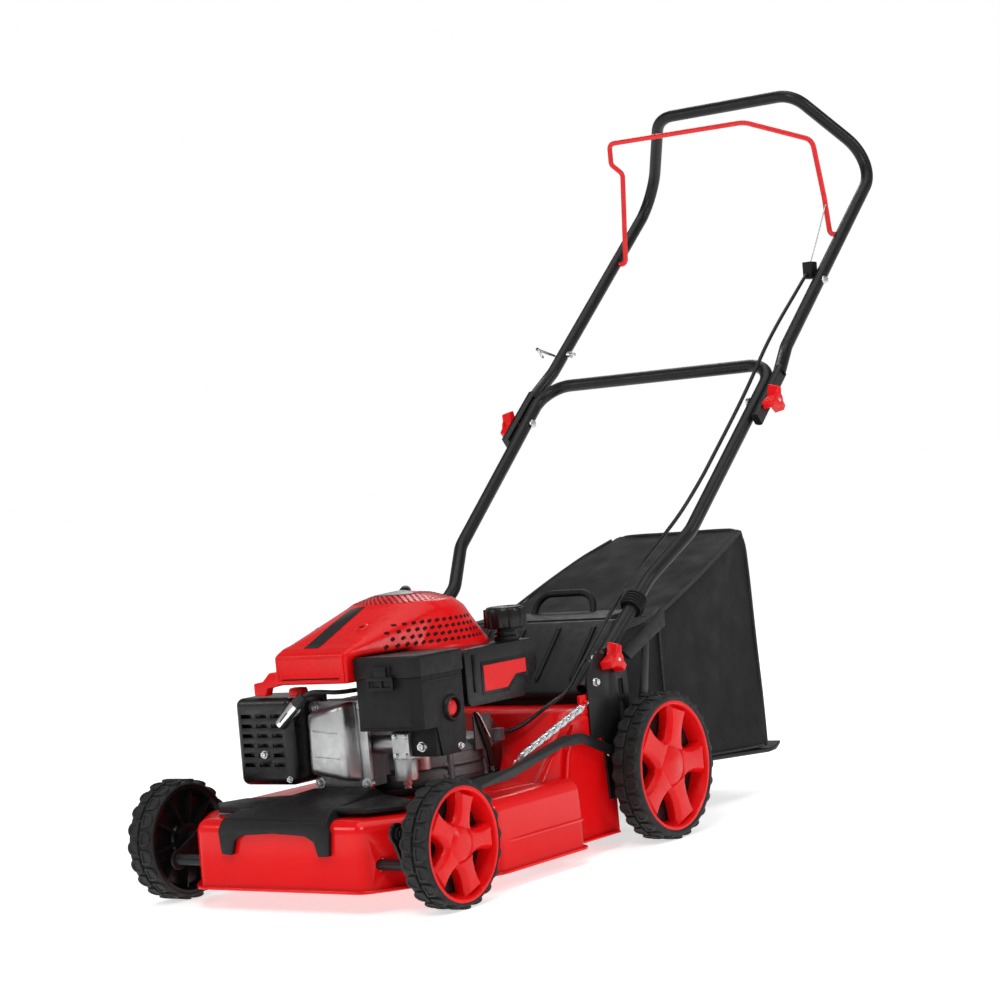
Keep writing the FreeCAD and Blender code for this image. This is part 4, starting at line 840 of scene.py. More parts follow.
class MOWER_OT_adjuster(bpy.types.Operator):
    """Brackets, axles, link bar, balance spring and height lever"""
    bl_idname = "mower.adjuster"
    bl_label = "Height adjuster"

    def execute(self, context):
        copy_nodes("adjuster")
        self.make_spring()
        self.make_fasteners()
        return {"FINISHED"}

    def make_spring(self):
        """A close-wound spring with a hooked wire at each end."""
        low, high = at(184, 190, 147), at(184, 366, 200)
        wire = sizes().spring_wire
        coil_radius = mm(SPRING_RADIUS) - wire
        line = (high - low).normalized()
        aside = line.cross(Vector((1, 0, 0))).normalized()
        across = line.cross(aside)
        start = low + line * mm(SPRING_HOOK)
        run = (high - low).length - mm(SPRING_HOOKS)
        turns = int(run / (SPRING_PITCH * wire))
        points = [low + aside * mm(1.2), low - aside * mm(1.5), low + line * mm(6)]
        steps = 8
        for step in range(turns * steps + 1):
            angle = 2 * math.pi * step / steps
            along = run * step / (turns * steps)
            points.append(start + line * along + aside * coil_radius * math.cos(angle)
                          + across * coil_radius * math.sin(angle))
        points += [high - line * mm(10), high + aside * mm(1.5), high - aside * mm(1.2)]
        spring = cable("balance_spring", points, wire, "zinc", 3, 1)
        dress(spring, ["height_spring"], "mower")

    def make_fasteners(self):
        """The screws through each bracket."""
        bm = bmesh.new()
        for side in SIDES.values():
            for y, z, radius in ((410, 128, 4.2), (462, 150, 4.2), (391.9, 223.9, 4.5)):
                add_screw(bm, at(side * 181, y, z), Vector((side, 0, 0)), mm(radius))
        make_piece("bracket_bolts", bm, ["zinc"], "mower", smooth=25)


# ---- engine -------------------------------------------------------------------------
def add_upright_turned(bm, outline, x, y, steps):
    """An outline of (radius, height) millimetres turned round an upright line."""
    add_turned(bm, metres(outline), Matrix.Translation(at(x, y, 0)), steps)


COVER_VOXEL = 2.3               # the grain that the cover's solids are merged at
COVER_SMOOTHING = 14            # rounds
COVER_FOOT = 266.5
COVER_WALL = 2.2
DROP_HEIGHT = 500.0             # above the ground, from where points are dropped on the cover


def add_grip_ribs(bm, x, y, z, reach, count, height, rib):
    """Upright ribs round a cap, in mm; a rib is its radius at the foot and top, and its sides."""
    foot_radius, top_radius, sides = rib
    for step in range(count):
        angle = 2 * math.pi * step / count
        foot = at(x + reach * math.cos(angle), y + reach * math.sin(angle), z)
        add_rod(bm, foot, foot + UP * mm(height), mm(foot_radius), mm(top_radius), sides)


def cover_solid(bm):
    """The engine cover's outside as overlapping solids: fan housing, nose, shoulders and beak."""
    drum = [(0, 286), (110, 286), (110.5, 296), (104, 304), (88, 330), (80, 344), (66, 355),
            (40, 363.5), (0, 368.6)]
    add_upright_turned(bm, drum, 0, ENGINE_Y, 96)
    nose = [(43, 266), (43, 304), (60, 312), (225, 340), (225, 266)]
    add_prism(bm, side_outline(nose, -70), Vector((mm(116), 0, 0)))
    bonnet = [bm.verts.new(at(x, 43, z)) for x in (-70, 46) for z in (297, 304)]
    for reach, z in ((97, 301), (87, 329), (80, 343), (66, 354), (38, 362.5)):
        for step in range(48):
            angle = 2 * math.pi * step / 48
            point = at(reach * math.cos(angle), ENGINE_Y + reach * math.sin(angle), z)
            bonnet.append(bm.verts.new(point))
    bmesh.ops.convex_hull(bm, input=bonnet)
    shoulder = [(46, 156), (83, 174), (83, 225), (-83, 225), (-83, 152), (-70, 82)]
    add_prism(bm, [at(x, y, 286) for x, y in shoulder], Vector((0, 0, mm(31))))
    add_upright_turned(bm, [(0, 290), (11.5, 290), (11.5, 322), (9, 325), (0, 325)], -66, 318, 24)


def remeshed(bm, voxel, rounds, name):
    """Merges overlapping solids into one skin and smooths it, as a new bmesh."""
    bmesh.ops.recalc_face_normals(bm, faces=bm.faces)
    mesh = bpy.data.meshes.new(name + "_blank")
    bm.to_mesh(mesh)
    bm.free()
    blank = bpy.data.objects.new(name + "_blank", mesh)
    bpy.context.scene.collection.objects.link(blank)
    modifier = blank.modifiers.new("skin", "REMESH")
    modifier.mode = "VOXEL"
    modifier.voxel_size = voxel
    smooth = blank.modifiers.new("smooth", "SMOOTH")
    smooth.factor = 0.5
    smooth.iterations = rounds
    bpy.context.view_layer.update()
    skin = bmesh.new()
    skin.from_object(blank, bpy.context.evaluated_depsgraph_get())
    bpy.data.objects.remove(blank)
    bpy.data.meshes.remove(mesh)
    return skin


def hollow_from_below(bm, height, wall):
    """Cuts a solid off at a height and leaves a wall of even thickness."""
    geometry = list(bm.verts) + list(bm.edges) + list(bm.faces)
    bmesh.ops.bisect_plane(bm, geom=geometry, plane_co=Vector((0, 0, height)), plane_no=Vector((0, 0, 1)),
                           clear_inner=True)
    bmesh.ops.solidify(bm, geom=list(bm.faces), thickness=wall)


def surface_point(tree, origin, direction):
    """Where a line meets a surface, and the way the surface faces there."""
    return tree.ray_cast(origin, direction)[:2]


def add_inlay(bm, tree, origin, direction, along, length, width, depth):
    """A slim lozenge let into a surface where a line meets it."""
    place, normal = surface_point(tree, origin, direction)
    if place is None:
        return
    forward = (along - normal * along.dot(normal)).normalized()
    sideways = normal.cross(forward)
    corners = []
    for a, b in ((-1, 0), (-0.8, 1), (0.8, 1), (1, 0), (0.8, -1), (-0.8, -1)):
        corners.append(place - normal * depth + forward * a * length / 2 + sideways * b * width / 2)
    add_prism(bm, corners, normal * (depth + mm(0.12)))


def add_patch(bm, tree, origins, lift, across, along):
    """A skin laid on a surface; origins(u, v) gives where each of its points is dropped from."""
    for vert in bmesh.ops.create_grid(bm, x_segments=across, y_segments=along, size=1.0)["verts"]:
        place, normal = surface_point(tree, origins(vert.co.x, vert.co.y), DOWN)
        vert.co = place + normal * lift


def stripe_point(u, v):
    """A square's points drawn out to a strip along the cover's nose."""
    return at(-20 + 12 * u, 108 + 50 * v, DROP_HEIGHT)


def badge_point(u, v):
    """A square's points drawn in to an oval that leans over the front of the cover's dome."""
    across = u * math.sqrt(1 - v * v / 2)
    along = v * math.sqrt(1 - u * u / 2)
    return at(30 * across, ENGINE_Y - 16 + 17 * along, DROP_HEIGHT)


class MOWER_OT_cover(bpy.types.Operator):
    """The moulded engine cover with its grille, side vents, badge and panel"""
    bl_idname = "mower.cover"
    bl_label = "Engine cover"

    def execute(self, context):
        bm = bmesh.new()
        cover_solid(bm)
        skin = remeshed(bm, mm(COVER_VOXEL), COVER_SMOOTHING, "cover")
        tree = BVHTree.FromBMesh(skin)
        hollow_from_below(skin, mm(COVER_FOOT), mm(COVER_WALL))
        make_piece("fan_cover", skin, ["red"], "mower", ["engine_cover"], 50)
        self.make_vents(tree)
        self.make_badge(tree)
        self.make_front()
        return {"FINISHED"}

    def make_vents(self, tree):
        """Staggered rings of slots on the dome, and rows of them round its sides."""
        bm = bmesh.new()
        centre = at(0, ENGINE_Y, 0)
        for ring in range(7):
            reach = mm(27 + 5.8 * ring)
            count = int(2 * math.pi * reach / mm(7.6))
            for step in range(count):
                angle = 2 * math.pi * (step + 0.5 * (ring % 2)) / count
                aside = Vector((math.cos(angle), math.sin(angle), 0))
                origin = centre + aside * reach + Vector((0, 0, 0.5))
                slant = Vector((-aside.y, aside.x, 0)) * 0.6 + aside * 0.8
                add_inlay(bm, tree, origin, DOWN, slant, mm(6.4), mm(2.4), mm(0.8))
        self.add_side_vents(bm, tree, -62, 24)
        self.add_side_vents(bm, tree, 156, 242)
        # The vents are dark inlays on the surface, not openings; their colour is painted shade standing
        # in for the inside of each slot.
        make_piece("cover_vents", bm, ["hollow"], "mower", recalc=False)

    def add_side_vents(self, bm, tree, start, end):
        """Four rows of slanted slots round one side of the fan housing."""
        for row in range(4):
            height = 305 + 8.4 * row
            count = 15 - row
            for step in range(count):
                angle = math.radians(start + (end - start) * (step + 0.5 * (row % 2)) / count)
                aside = Vector((math.cos(angle), math.sin(angle), 0))
                origin = at(0, ENGINE_Y, height) + aside * 0.3
                slant = Vector((-aside.y, aside.x, 0)) * 0.8 + Vector((0, 0, 0.45))
                add_inlay(bm, tree, origin, -aside, slant, mm(7.8), mm(4.4), mm(0.8))

    def make_badge(self, tree):
        """The plain badge on the dome, the strip along the nose and the screw's boss beside it."""
        for name, finish, origins, lift, across, along in (
                ("cover_badge", "badge", badge_point, 0.8, 20, 20),
                ("cover_stripe", "film", stripe_point, 0.5, 8, 40)):
            bm = bmesh.new()
            add_patch(bm, tree, origins, mm(lift), across, along)
            make_piece(name, bm, [finish], "mower", recalc=False)
        bm = bmesh.new()
        place, normal = surface_point(tree, at(26, 106, DROP_HEIGHT), DOWN)
        boss = [(3.4, 0.2), (4.4, 1.4), (6.6, 1.6), (8.6, 0.4), (8.8, -1), (3.4, -1), (3.4, 0.2)]
        add_turned(bm, metres(boss), looking(place, normal), 40)
        make_piece("cover_screw_boss", bm, ["red"], "mower")
        # The screw's hole is a dark disc of painted shade, not a recess.
        bm = bmesh.new()
        add_rod(bm, place - normal * mm(1), place + normal * mm(0.6), mm(3.5), sides=28)
        make_piece("cover_screw_hole", bm, ["hollow"], "mower")

    def make_front(self):
        """The recessed front panel, its slot, and the tab that hangs beside the nose."""
        bm = bmesh.new()
        verts = add_box(bm, at(-67, 41.2, 268.5), at(43, 46, 302.5))
        face = min({f for v in verts for f in v.link_faces}, key=lambda f: f.calc_center_median().y)
        bmesh.ops.inset_region(bm, faces=[face], thickness=mm(3.5), depth=0.0)
        bmesh.ops.inset_region(bm, faces=[face], thickness=mm(0.8), depth=-mm(1.6))
        soften(bm, mm(0.7), 2)
        make_piece("cover_front_frame", bm, ["red"], "mower")
        # The slot is a thin dark box of painted shade laid in the panel, not an opening.
        bm = bmesh.new()
        add_box(bm, at(-59, 42.4, 272.6), at(34, 44, 274.2))
        make_piece("cover_front_slot", bm, ["hollow"], "mower")
        bm = bmesh.new()
        tab = [(-115, 253), (-96, 252), (-92, 262), (-69, 266), (-69, 284), (-88, 282), (-100, 271),
               (-115, 269)]
        add_prism(bm, [at(x, 50, z) for x, z in tab], Vector((0, mm(14), 0)))
        soften(bm, mm(2.0), 3)
        make_piece("cover_side_tab", bm, ["red"], "mower")


class MOWER_OT_engine(bpy.types.Operator):
    """Crankcase, cylinder, valve cover, exhaust guard, plug, carburettor and what turns"""
    bl_idname = "mower.engine"
    bl_label = "Engine"

    def execute(self, context):
        copy_nodes("engine")
        for node, finish in (("piston", "alloy"), ("crankshaft", "steel"), ("flywheel", "alloy")):
            paint_node(node, finish)
        self.make_ribs()
        self.make_valve_cover()
        self.make_plug()
        self.make_oil_cap()
        self.make_small_parts()
        self.make_starter()
        return {"FINISHED"}

    def make_ribs(self):
        """Cast ribs and bolt bosses round the crankcase, clear of the cylinder in front."""
        bm = bmesh.new()
        for z in (128, 143, 159):
            ring = [(86, z), (94.5, z), (95.2, z + 1), (95.2, z + 4), (94.5, z + 5), (86, z + 5), (86, z)]
            add_upright_turned(bm, ring, 0, ENGINE_Y, 96)
        geometry = list(bm.verts) + list(bm.edges) + list(bm.faces)
        bmesh.ops.bisect_plane(bm, geom=geometry, plane_co=at(0, 178, 0), plane_no=BACK, clear_inner=True)
        bmesh.ops.holes_fill(bm, edges=[edge for edge in bm.edges if edge.is_boundary], sides=0)
        for step in range(5):
            angle = math.radians(-24 + 44 * step)
            aside = Vector((math.cos(angle), math.sin(angle), 0))
            foot = at(0, ENGINE_Y, 123) + aside * mm(92.5)
            top = foot + UP * mm(36)
            add_rod(bm, foot, top, mm(5.5), mm(4.5), 20)
            add_screw(bm, top, UP, mm(3.2))
        make_piece("crankcase_bosses", bm, ["case"], "mower", smooth=30)

    def make_valve_cover(self):
        """The valve cover's leaning dome with two bars across it, its flange and its screws."""
        bm = bmesh.new()
        face = [(-41, 152), (-38, 227), (17, 238), (19, 142)]
        verts = add_prism(bm, [at(x, 58.8, z) for x, z in face], Vector((0, mm(28), 0)))
        back = [v for v in verts if v.co.y > at(0, 70, 0).y]
        middle = Matrix.Translation(-at(-8, 0, 190))
        bmesh.ops.scale(bm, vec=Vector((1.26, 1, 1.1)), space=middle, verts=back)
        soften(bm, mm(7.5), 5)
        for z in (172, 204):
            add_rod(bm, at(-30, 59.0, z + 2), at(9, 59.0, z - 1), mm(1.1), sides=12)
        make_piece("valve_dome", bm, ["alloy"], "mower", smooth=40)
        softened_copy("valve_cover", "valve_flange", "alloy", "mower", 0.6)
        bm = bmesh.new()
        for x, z in ((-47, 233), (30, 135), (30, 234), (-47, 136)):
            add_rod(bm, at(x, 84.5, z), at(x, 91, z), mm(8), sides=28)
            add_screw(bm, at(x, 84.6, z), FORWARD, mm(4))
        make_piece("valve_screws", bm, ["zinc"], "mower", smooth=28)

    def make_plug(self):
        """The spark plug under its slotted bright shield, with its boot and lead."""
        out, inner = at(-65, 40, 217), at(-36, 41, 243)
        line = (inner - out).normalized()
        place = looking(out, line)
        length = 1000 * (inner - out).length
        bm = bmesh.new()
        add_turned(bm, metres([(0, 3), (5, 3), (5.5, 0.4), (8.2, 0), (8.5, 1.4), (8.5, length - 5),
                               (7.6, length - 2), (7.6, length), (0, length)]), place, 40)
        make_piece("plug_shield_tube", bm, ["shield"], "mower", ["spark_plug"], 30)
        # The shield's slots and its open end are black slabs and a disc laid on the tube, not cut through
        # it; their black is painted shade of the inside.
        bm = bmesh.new()
        for turn in range(8):
            spin = place @ Matrix.Rotation(math.radians(45 * turn), 4, "Z")
            slot = add_box(bm, Vector((mm(8), -mm(0.9), mm(6))), Vector((mm(8.6), mm(0.9), mm(24))))
            bmesh.ops.transform(bm, matrix=spin, verts=slot)
        add_turned(bm, metres([(0, 0.3), (4.2, 0.3), (4.2, 3.4), (0, 3.4)]), place, 24)
        make_piece("plug_shield_slots", bm, ["rubber"], "mower")
        bm = bmesh.new()
        add_turned(bm, metres([(0, length - 1), (8.4, length - 1), (8.4, length + 4), (7, length + 6),
                               (6.6, length + 12), (4.6, length + 15), (0, length + 15)]), place, 36)
        make_piece("plug_boot", bm, ["rubber"], "mower")
        tip = inner + line * mm(12)
        route = [at(-20, 46, 257), at(-8, 56, 256), at(8, 70, 253), at(16, 100, 253), at(20, 124, 253),
                 at(10, 161, 253)]
        lead = cable("plug_wire", [tip, *route], mm(3), "rubber")
        dress(lead, ["plug_lead"], "mower")

    def make_oil_cap(self):
        """The ribbed oil filler plug, with two holes in its top."""
        x, y = -54, 66
        bm = bmesh.new()
        outline = [(0, 250.6), (10.8, 250.6), (11.8, 252), (12, 258.5), (10.6, 261), (7, 261.4),
                   (5, 260.4), (0, 260.2)]
        add_upright_turned(bm, outline, x, y, 36)
        add_grip_ribs(bm, x, y, 252.4, 11.2, 12, 6.4, (1.1, 1.1, 10))
        make_piece("oil_filler_plug", bm, ["red"], "oil_filler", ["oil_cap"], 40)
        # The two holes are dark plugs of painted shade on the cap's top, not openings.
        bm = bmesh.new()
        for side in (-1, 1):
            hole = at(x + 5.6 * side, y, 259)
            add_rod(bm, hole, hole + UP * mm(2.5), mm(2.2), sides=20)
        make_piece("oil_filler_holes", bm, ["hollow"], "oil_filler")

    def make_small_parts(self):
        """Screws on the guard, carburettor and bracket, and the brake's pull rod."""
        make_screws("engine_screws", "mower", (
            (-105, 49.6, 178, FORWARD, 4.2), (-66, 49.8, 146, FORWARD, 3.4),
            (81, 83.8, 194, FORWARD, 2.4), (97, 83.8, 194, FORWARD, 2.4),
            (81, 83.8, 171, FORWARD, 2.4), (97, 83.8, 171, FORWARD, 2.4),
            (89, 92, 134, DOWN, 4.6), (102, 110, 184, LEFT, 3.6), (100, 240, 192, LEFT, 2.6)))
        route = side_outline([(224, 207), (230, 206), (246, 178), (250, 172)], 105)
        dress(cable("brake_pull_rod", route, mm(1.6), "zinc"), body="brake")

    def make_starter(self):
        """The pull handle, and the rope that stretches out of the cover behind it."""
        x, y = -66, 318
        bm = bmesh.new()
        stem = [(1.8, 328), (8.6, 328), (8.8, 331), (6.6, 344), (6.2, 358), (1.8, 358), (1.8, 328)]
        add_upright_turned(bm, stem, x, y, 32)
        along = Vector((math.sin(VIEW_TURN), -math.cos(VIEW_TURN), 0)) * mm(21)
        middle = at(x, y, 361)
        add_rod(bm, middle - along, middle + along, mm(8), mm(8), 24)
        soften(bm, mm(2.6), 3, 60)
        make_piece("starter_pull", bm, ["smooth_black"], "starter", ["starter_grip"])
        heights = [290 + 42 * step / 20 for step in range(21)]
        rope = cable("starter_cord", [at(x, y, z) for z in heights], mm(1.8), "cord")
        dress(rope, ["starter_rope"])
        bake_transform(rope)


class MOWER_OT_intake(bpy.types.Operator):
    """The air filter housing with its lid, latch and primer, and the fuel tank with its cap"""
    bl_idname = "mower.intake"
    bl_label = "Air filter and tank"

    def execute(self, context):
        copy_nodes("intake")
        self.make_filter_details()
        self.make_primer()
        self.make_tank_details()
        self.make_cap()
        return {"FINISHED"}

    def make_filter_details(self):
        """The lid's latch, the housing's ribs and bracket, and their bolts."""
        bm = bmesh.new()
        add_box(bm, at(72, 48.0, 268), at(113, 51, 273))
        add_box(bm, at(72, 48.0, 256), at(113, 51, 260))
        for x in (72, 92, 109):
            add_box(bm, at(x, 48.6, 257), at(x + 4, 51, 272))
        add_box(bm, at(86, 47.6, 273), at(104, 51, 285))
        soften(bm, mm(0.6), 2)
        make_piece("filter_latch_ribs", bm, ["black"], "filter_lid")
        bm = bmesh.new()
        add_box(bm, at(50.5, 54.6, 206), at(130, 57, 209))
        add_box(bm, at(142, 70, 262), at(143.9, 150, 265))
        add_box(bm, at(102, 90, 168.5), at(141, 99, 205.5))
        soften(bm, mm(0.8), 2)
        make_piece("filter_housing_ribs", bm, ["black"], "mower")
        make_screws("filter_bolts", "mower", ((119, 90, 181, FORWARD, 5.2), (143, 136, 176, LEFT, 3.4)))

    def make_primer(self):
        """The red primer button in its raised collar."""
        place = outwards(at(143, 125, 225), 1)
        bm = bmesh.new()
        add_turned(bm, metres([(12.6, -6), (12.6, 3.6), (13.2, 4.4), (15, 4.4), (16, 3.4), (17.5, -0.5),
                               (17.5, -6), (12.6, -6)]), place, 48)
        make_piece("primer_collar", bm, ["black"], "mower")
        bm = bmesh.new()
        button = [(0, 2.9), (3, 2.8), (6.5, 2.1), (9.5, 0.6), (11.2, -1.2), (11.9, -2.9), (0, -2.9)]
        add_turned(bm, metres(button), place, 40)
        make_piece("primer_button", bm, ["red_rubber"], "primer", ["primer_bulb"])

    def make_tank_details(self):
        """The raised frame on the tank's side, the red panel in it and the rib before it."""
        bm = bmesh.new()
        add_rod(bm, at(134, 190, 236), at(134, 190, 284), mm(3.4), sides=20)
        frame_outline = [(204, 230), (204, 273), (307, 273), (307, 245), (281, 245), (261, 230)]
        add_prism(bm, side_outline(frame_outline, 133.2), Vector((mm(1.6), 0, 0)))
        soften(bm, mm(0.7), 2)
        make_piece("tank_relief", bm, ["smooth_black"], "mower")
        bm = bmesh.new()
        panel = [(209, 235), (209, 268), (302, 268), (302, 250), (278, 250), (258, 235)]
        add_prism(bm, side_outline(panel, 134.4), Vector((mm(0.8), 0, 0)))
        soften(bm, mm(0.3), 1)
        make_piece("tank_panel", bm, ["red"], "mower")

    def make_cap(self):
        """The ribbed fuel cap, and the rings round the neck under it."""
        x, y = 108, 302
        bm = bmesh.new()
        outline = [(0, 318.4), (13.8, 318.4), (13.8, 309), (15, 308), (24, 308), (26, 311), (26, 331),
                   (23.5, 335.6), (19, 336.6), (17.5, 335.4), (0, 335)]
        add_upright_turned(bm, outline, x, y, 64)
        add_grip_ribs(bm, x, y, 309.5, 23.4, 10, 24, (5.0, 4.2, 20))
        soften(bm, mm(0.6), 2, 45)
        make_piece("fuel_filler_cap", bm, ["smooth_black"], "tank_cap", ["fuel_cap"], 45)
        bm = bmesh.new()
        for ring in ([(13.2, 292), (16.5, 292), (16.5, 297), (13.2, 298), (13.2, 292)],
                     [(13.1, 300), (15.4, 300), (15.4, 303), (13.1, 303), (13.1, 300)]):
            add_upright_turned(bm, ring, x, y, 48)
        make_piece("filler_neck_rings", bm, ["smooth_black"], "mower")


class MOWER_OT_cutter(bpy.types.Operator):
    """The blade and its bolt"""
    bl_idname = "mower.cutter"
    bl_label = "Blade"

    def execute(self, context):
        copy_nodes("cutter")
        bm = bmesh.new()
        add_upright_turned(bm, [(5, 60), (5, 38), (14, 38), (14, 36), (9, 36), (0, 36)], 0, ENGINE_Y, 32)
        add_rod(bm, at(0, ENGINE_Y, 36), at(0, ENGINE_Y, 28), mm(9), mm(8.6), 6)
        make_piece("blade_screw", bm, ["zinc"], "crank", ["blade_bolt"], 25)
        return {"FINISHED"}


# ---- grass bag ----------------------------------------------------------------------
# Each section: y and z at its foot, y and z at its top, half width at its foot and at its top.
BAG_SECTIONS = (
    (477, 100, 477, 250, 146, 142),
    (520, 94, 520, 284, 148, 144),
    (620, 84, 620, 294, 148, 144),
    (690, 79, 700, 322, 147, 142),
    (760, 74, 770, 347, 146, 138),
    (825, 71, 845, 373, 146, 130),
    (889, 69, 921, 396, 146, 117),
)
BAG_MOUTH = (477, 108, 477, 188, 122, 122)
BAG_THROAT = (496, 106, 496, 190, 124, 124)
BAG_SIDE_STEPS = 20             # points along each side of a section
BAG_FILL = 7                    # rings between two sections
# The rings that close the back: each one's share of the rear seam, and its bulge.
BAG_BACK = ((0.93, 3), (0.8, 5), (0.65, 6.5), (0.5, 7.5), (0.35, 8), (0.2, 8.3), (0.08, 8.5))
CREASE_START = 500.0            # where the cloth begins to hang loose, behind its stiff mouth
BROAD_FOLD = 0.0022             # the cloth's folds, in metres
FINE_FOLD = 0.0016
CLOTH_SETTLE = 0.0014           # how far the whole cloth sinks


def between(first, second, share):
    """The numbers part of the way from one row to another."""
    return tuple(a + (b - a) * share for a, b in zip(first, second))


def bag_sections():
    """Every section of the bag, from its mouth to its rear seam."""
    made = []
    for first, second in zip(BAG_SECTIONS, BAG_SECTIONS[1:]):
        for step in range(BAG_FILL):
            made.append(between(first, second, step / BAG_FILL))
    return made + [BAG_SECTIONS[-1]]


def section_points(section, slack):
    """A closed section, in order round it, whose four sides pull in by slack between rounded corners."""
    y_low, z_low, y_top, z_top, half_low, half_top = section
    corners = [(half_low, 0.0), (half_top, 1.0), (-half_top, 1.0), (-half_low, 0.0)]
    inwards = [(-1, 0), (0, -1), (1, 0), (0, 1)]
    points = []
    for index in range(4):
        start, end = corners[index], corners[(index + 1) % 4]
        for step in range(BAG_SIDE_STEPS):
            share = step / BAG_SIDE_STEPS
            sag = 1000 * slack * math.sin(math.pi * share) ** 0.8 if share else 0.0
            cut = 3.0 if step == 0 else 0.0
            x = start[0] + (end[0] - start[0]) * share
            rise = start[1] + (end[1] - start[1]) * share
            x += inwards[index][0] * sag - math.copysign(cut, x)
            z = z_low + (z_top - z_low) * rise + inwards[index][1] * sag + (cut if rise < 0.5 else -cut)
            points.append(at(x, y_low + (y_top - y_low) * rise, z))
    return points


def add_loop(bm, points):
    """A closed loop of edges through some points."""
    verts = [bm.verts.new(point) for point in points]
    return [bm.edges.new(pair) for pair in zip(verts, verts[1:] + verts[:1])]


def add_bag_shell(bm):
    """The bag lofted through its sections, with a bulging back and a rolled-in mouth."""
    sections = bag_sections()
    loops = [add_loop(bm, section_points(BAG_THROAT, 0)), add_loop(bm, section_points(BAG_MOUTH, 0))]
    for index, section in enumerate(sections):
        middle = math.sin(math.pi * index / (len(sections) - 1))
        loops.append(add_loop(bm, section_points(section, sizes().sag * (0.3 + 0.7 * middle))))
    rim = section_points(sections[-1], sizes().sag * 0.3)
    centre = sum(rim, Vector()) / len(rim)
    back = Vector((0, 0.995, -0.1))
    for share, bulge in BAG_BACK:
        ring = [centre + (point - centre) * share + back * mm(bulge) for point in rim]
        loops.append(add_loop(bm, ring))
    for first, second in zip(loops, loops[1:]):
        bmesh.ops.bridge_loops(bm, edges=first + second)
    bmesh.ops.contextual_create(bm, geom=loops[-1])


def crease(bm):
    """Slack folds and pulls in the cloth, away from the stiff mouth."""
    front = at(0, CREASE_START, 0).y
    bmesh.ops.recalc_face_normals(bm, faces=bm.faces)
    bm.normal_update()
    for vert in bm.verts:
        free = max(0.0, min(1.0, (vert.co.y - front) / mm(60)))
        broad = noise.noise(vert.co * 9.0)
        folds = noise.noise(Vector((vert.co.x * 10, vert.co.y * 26 - vert.co.z * 14, vert.co.z * 18)))
        reach = free * (BROAD_FOLD * broad + FINE_FOLD * folds)
        vert.co -= vert.normal * (reach + CLOTH_SETTLE * free)


def map_weave(piece):
    """Unfolds a piece's faces by the way they look, one unit to a metre."""
    mesh = piece.data
    layer = mesh.uv_layers.new(name="weave")
    for polygon in mesh.polygons:
        size = [abs(a) for a in polygon.normal]
        drop = size.index(max(size))
        for loop in polygon.loop_indices:
            co = mesh.vertices[mesh.loops[loop].vertex_index].co
            kept = [co[axis] for axis in range(3) if axis != drop]
            layer.data[loop].uv = kept


class MOWER_OT_bag(bpy.types.Operator):
    """The sewn grass bag with its piping, base lip and stiff frame, and the rear flap"""
    bl_idname = "mower.bag"
    bl_label = "Grass bag"

    def execute(self, context):
        bm = bmesh.new()
        add_bag_shell(bm)
        bmesh.ops.remove_doubles(bm, verts=bm.verts, dist=WELD)
        crease(bm)
        bmesh.ops.solidify(bm, geom=list(bm.faces), thickness=mm(1.6))
        bag = make_piece("sewn_bag", bm, ["cloth"], "bag", ["grass_bag"], 60)
        map_weave(bag)
        self.make_piping()
        self.make_base()
        copy_nodes("bag")
        self.make_flap_relief()
        return {"FINISHED"}

    def make_piping(self):
        """Corded seams along the bag's four corners and round its back."""
        sections = bag_sections()
        last = len(sections) - 2
        for corner, name in enumerate(("low_left", "high_left", "high_right", "low_right")):
            route = []
            for index in [*range(3, last, 4), last]:
                route.append(section_points(sections[index], 0)[corner * BAG_SIDE_STEPS])
            self.finish_seam("bag_seam_" + name, route)
        rim = section_points(sections[-1], sizes().sag * 0.3)
        self.finish_seam("bag_seam_back", rim[::4] + rim[:1])
        self.finish_seam("bag_seam_waist", section_points(sections[14], sizes().sag * 0.7)[::4][:11])

    def finish_seam(self, name, route):
        """One corded seam that rides on the bag."""
        dress(cable(name, route, mm(2.2), "cord", 6), body="bag")

    def make_base(self):
        """The moulded tray under the bag, whose edge flares out behind."""
        bm = bmesh.new()
        outline = [(560, 87), (560, 82), (760, 69), (886, 61), (906, 62), (919, 69), (921, 74),
                   (904, 69), (886, 67), (760, 75)]
        add_prism(bm, side_outline(outline, -149), Vector((mm(298), 0, 0)))
        soften(bm, mm(1.5), 2)
        make_piece("bag_base_tray", bm, ["black"], "bag")

    def make_flap_relief(self):
        """Raised ribs along the rear flap."""
        bm = bmesh.new()
        slope = math.radians(44)
        along = Vector((0, math.cos(slope), math.sin(slope)))
        off = Vector((0, -math.sin(slope), math.cos(slope)))
        foot = at(0, 420, 206) + off * mm(7)
        for x in (-118, -60, 0, 60, 118):
            start = foot + Vector((mm(x - 3), 0, 0)) + along * mm(14)
            corners = [start, start + along * mm(100), start + along * mm(96) + off * mm(3.5),
                       start + along * mm(6) + off * mm(3.5)]
            add_prism(bm, corners, Vector((mm(6), 0, 0)))
        soften(bm, mm(1.2), 2)
        make_piece("rear_flap_ribs", bm, ["black"], "flap")


# ---- handle -------------------------------------------------------------------------
WING_TAPER = 0.84               # a knob's outer face as a share of its foot
KNOB_AXES = {"upper": (836, 581), "lower": (428, 250)}      # y and z of the clamp bolts


def add_wings(bm, reach, depth, place):
    """A clamp knob with three broad tapering wings, on its foot's plane."""
    outline = []
    for wing in range(3):
        for turn, share in ((-14, 1.28), (14, 1.28), (60, 0.5)):
            angle = math.radians(120 * wing + 78 + turn)
            x = reach * share * math.cos(angle)
            y = reach * share * math.sin(angle)
            outline.append(Vector((mm(x), mm(y), 0)))
    verts = add_prism(bm, outline, Vector((0, 0, mm(depth - 3))))
    for vert in verts:
        if vert.co.z > mm(1):
            vert.co.x *= WING_TAPER
            vert.co.y *= WING_TAPER
    bmesh.ops.transform(bm, matrix=place, verts=verts)
    soften(bm, mm(2.0), 3, 30)


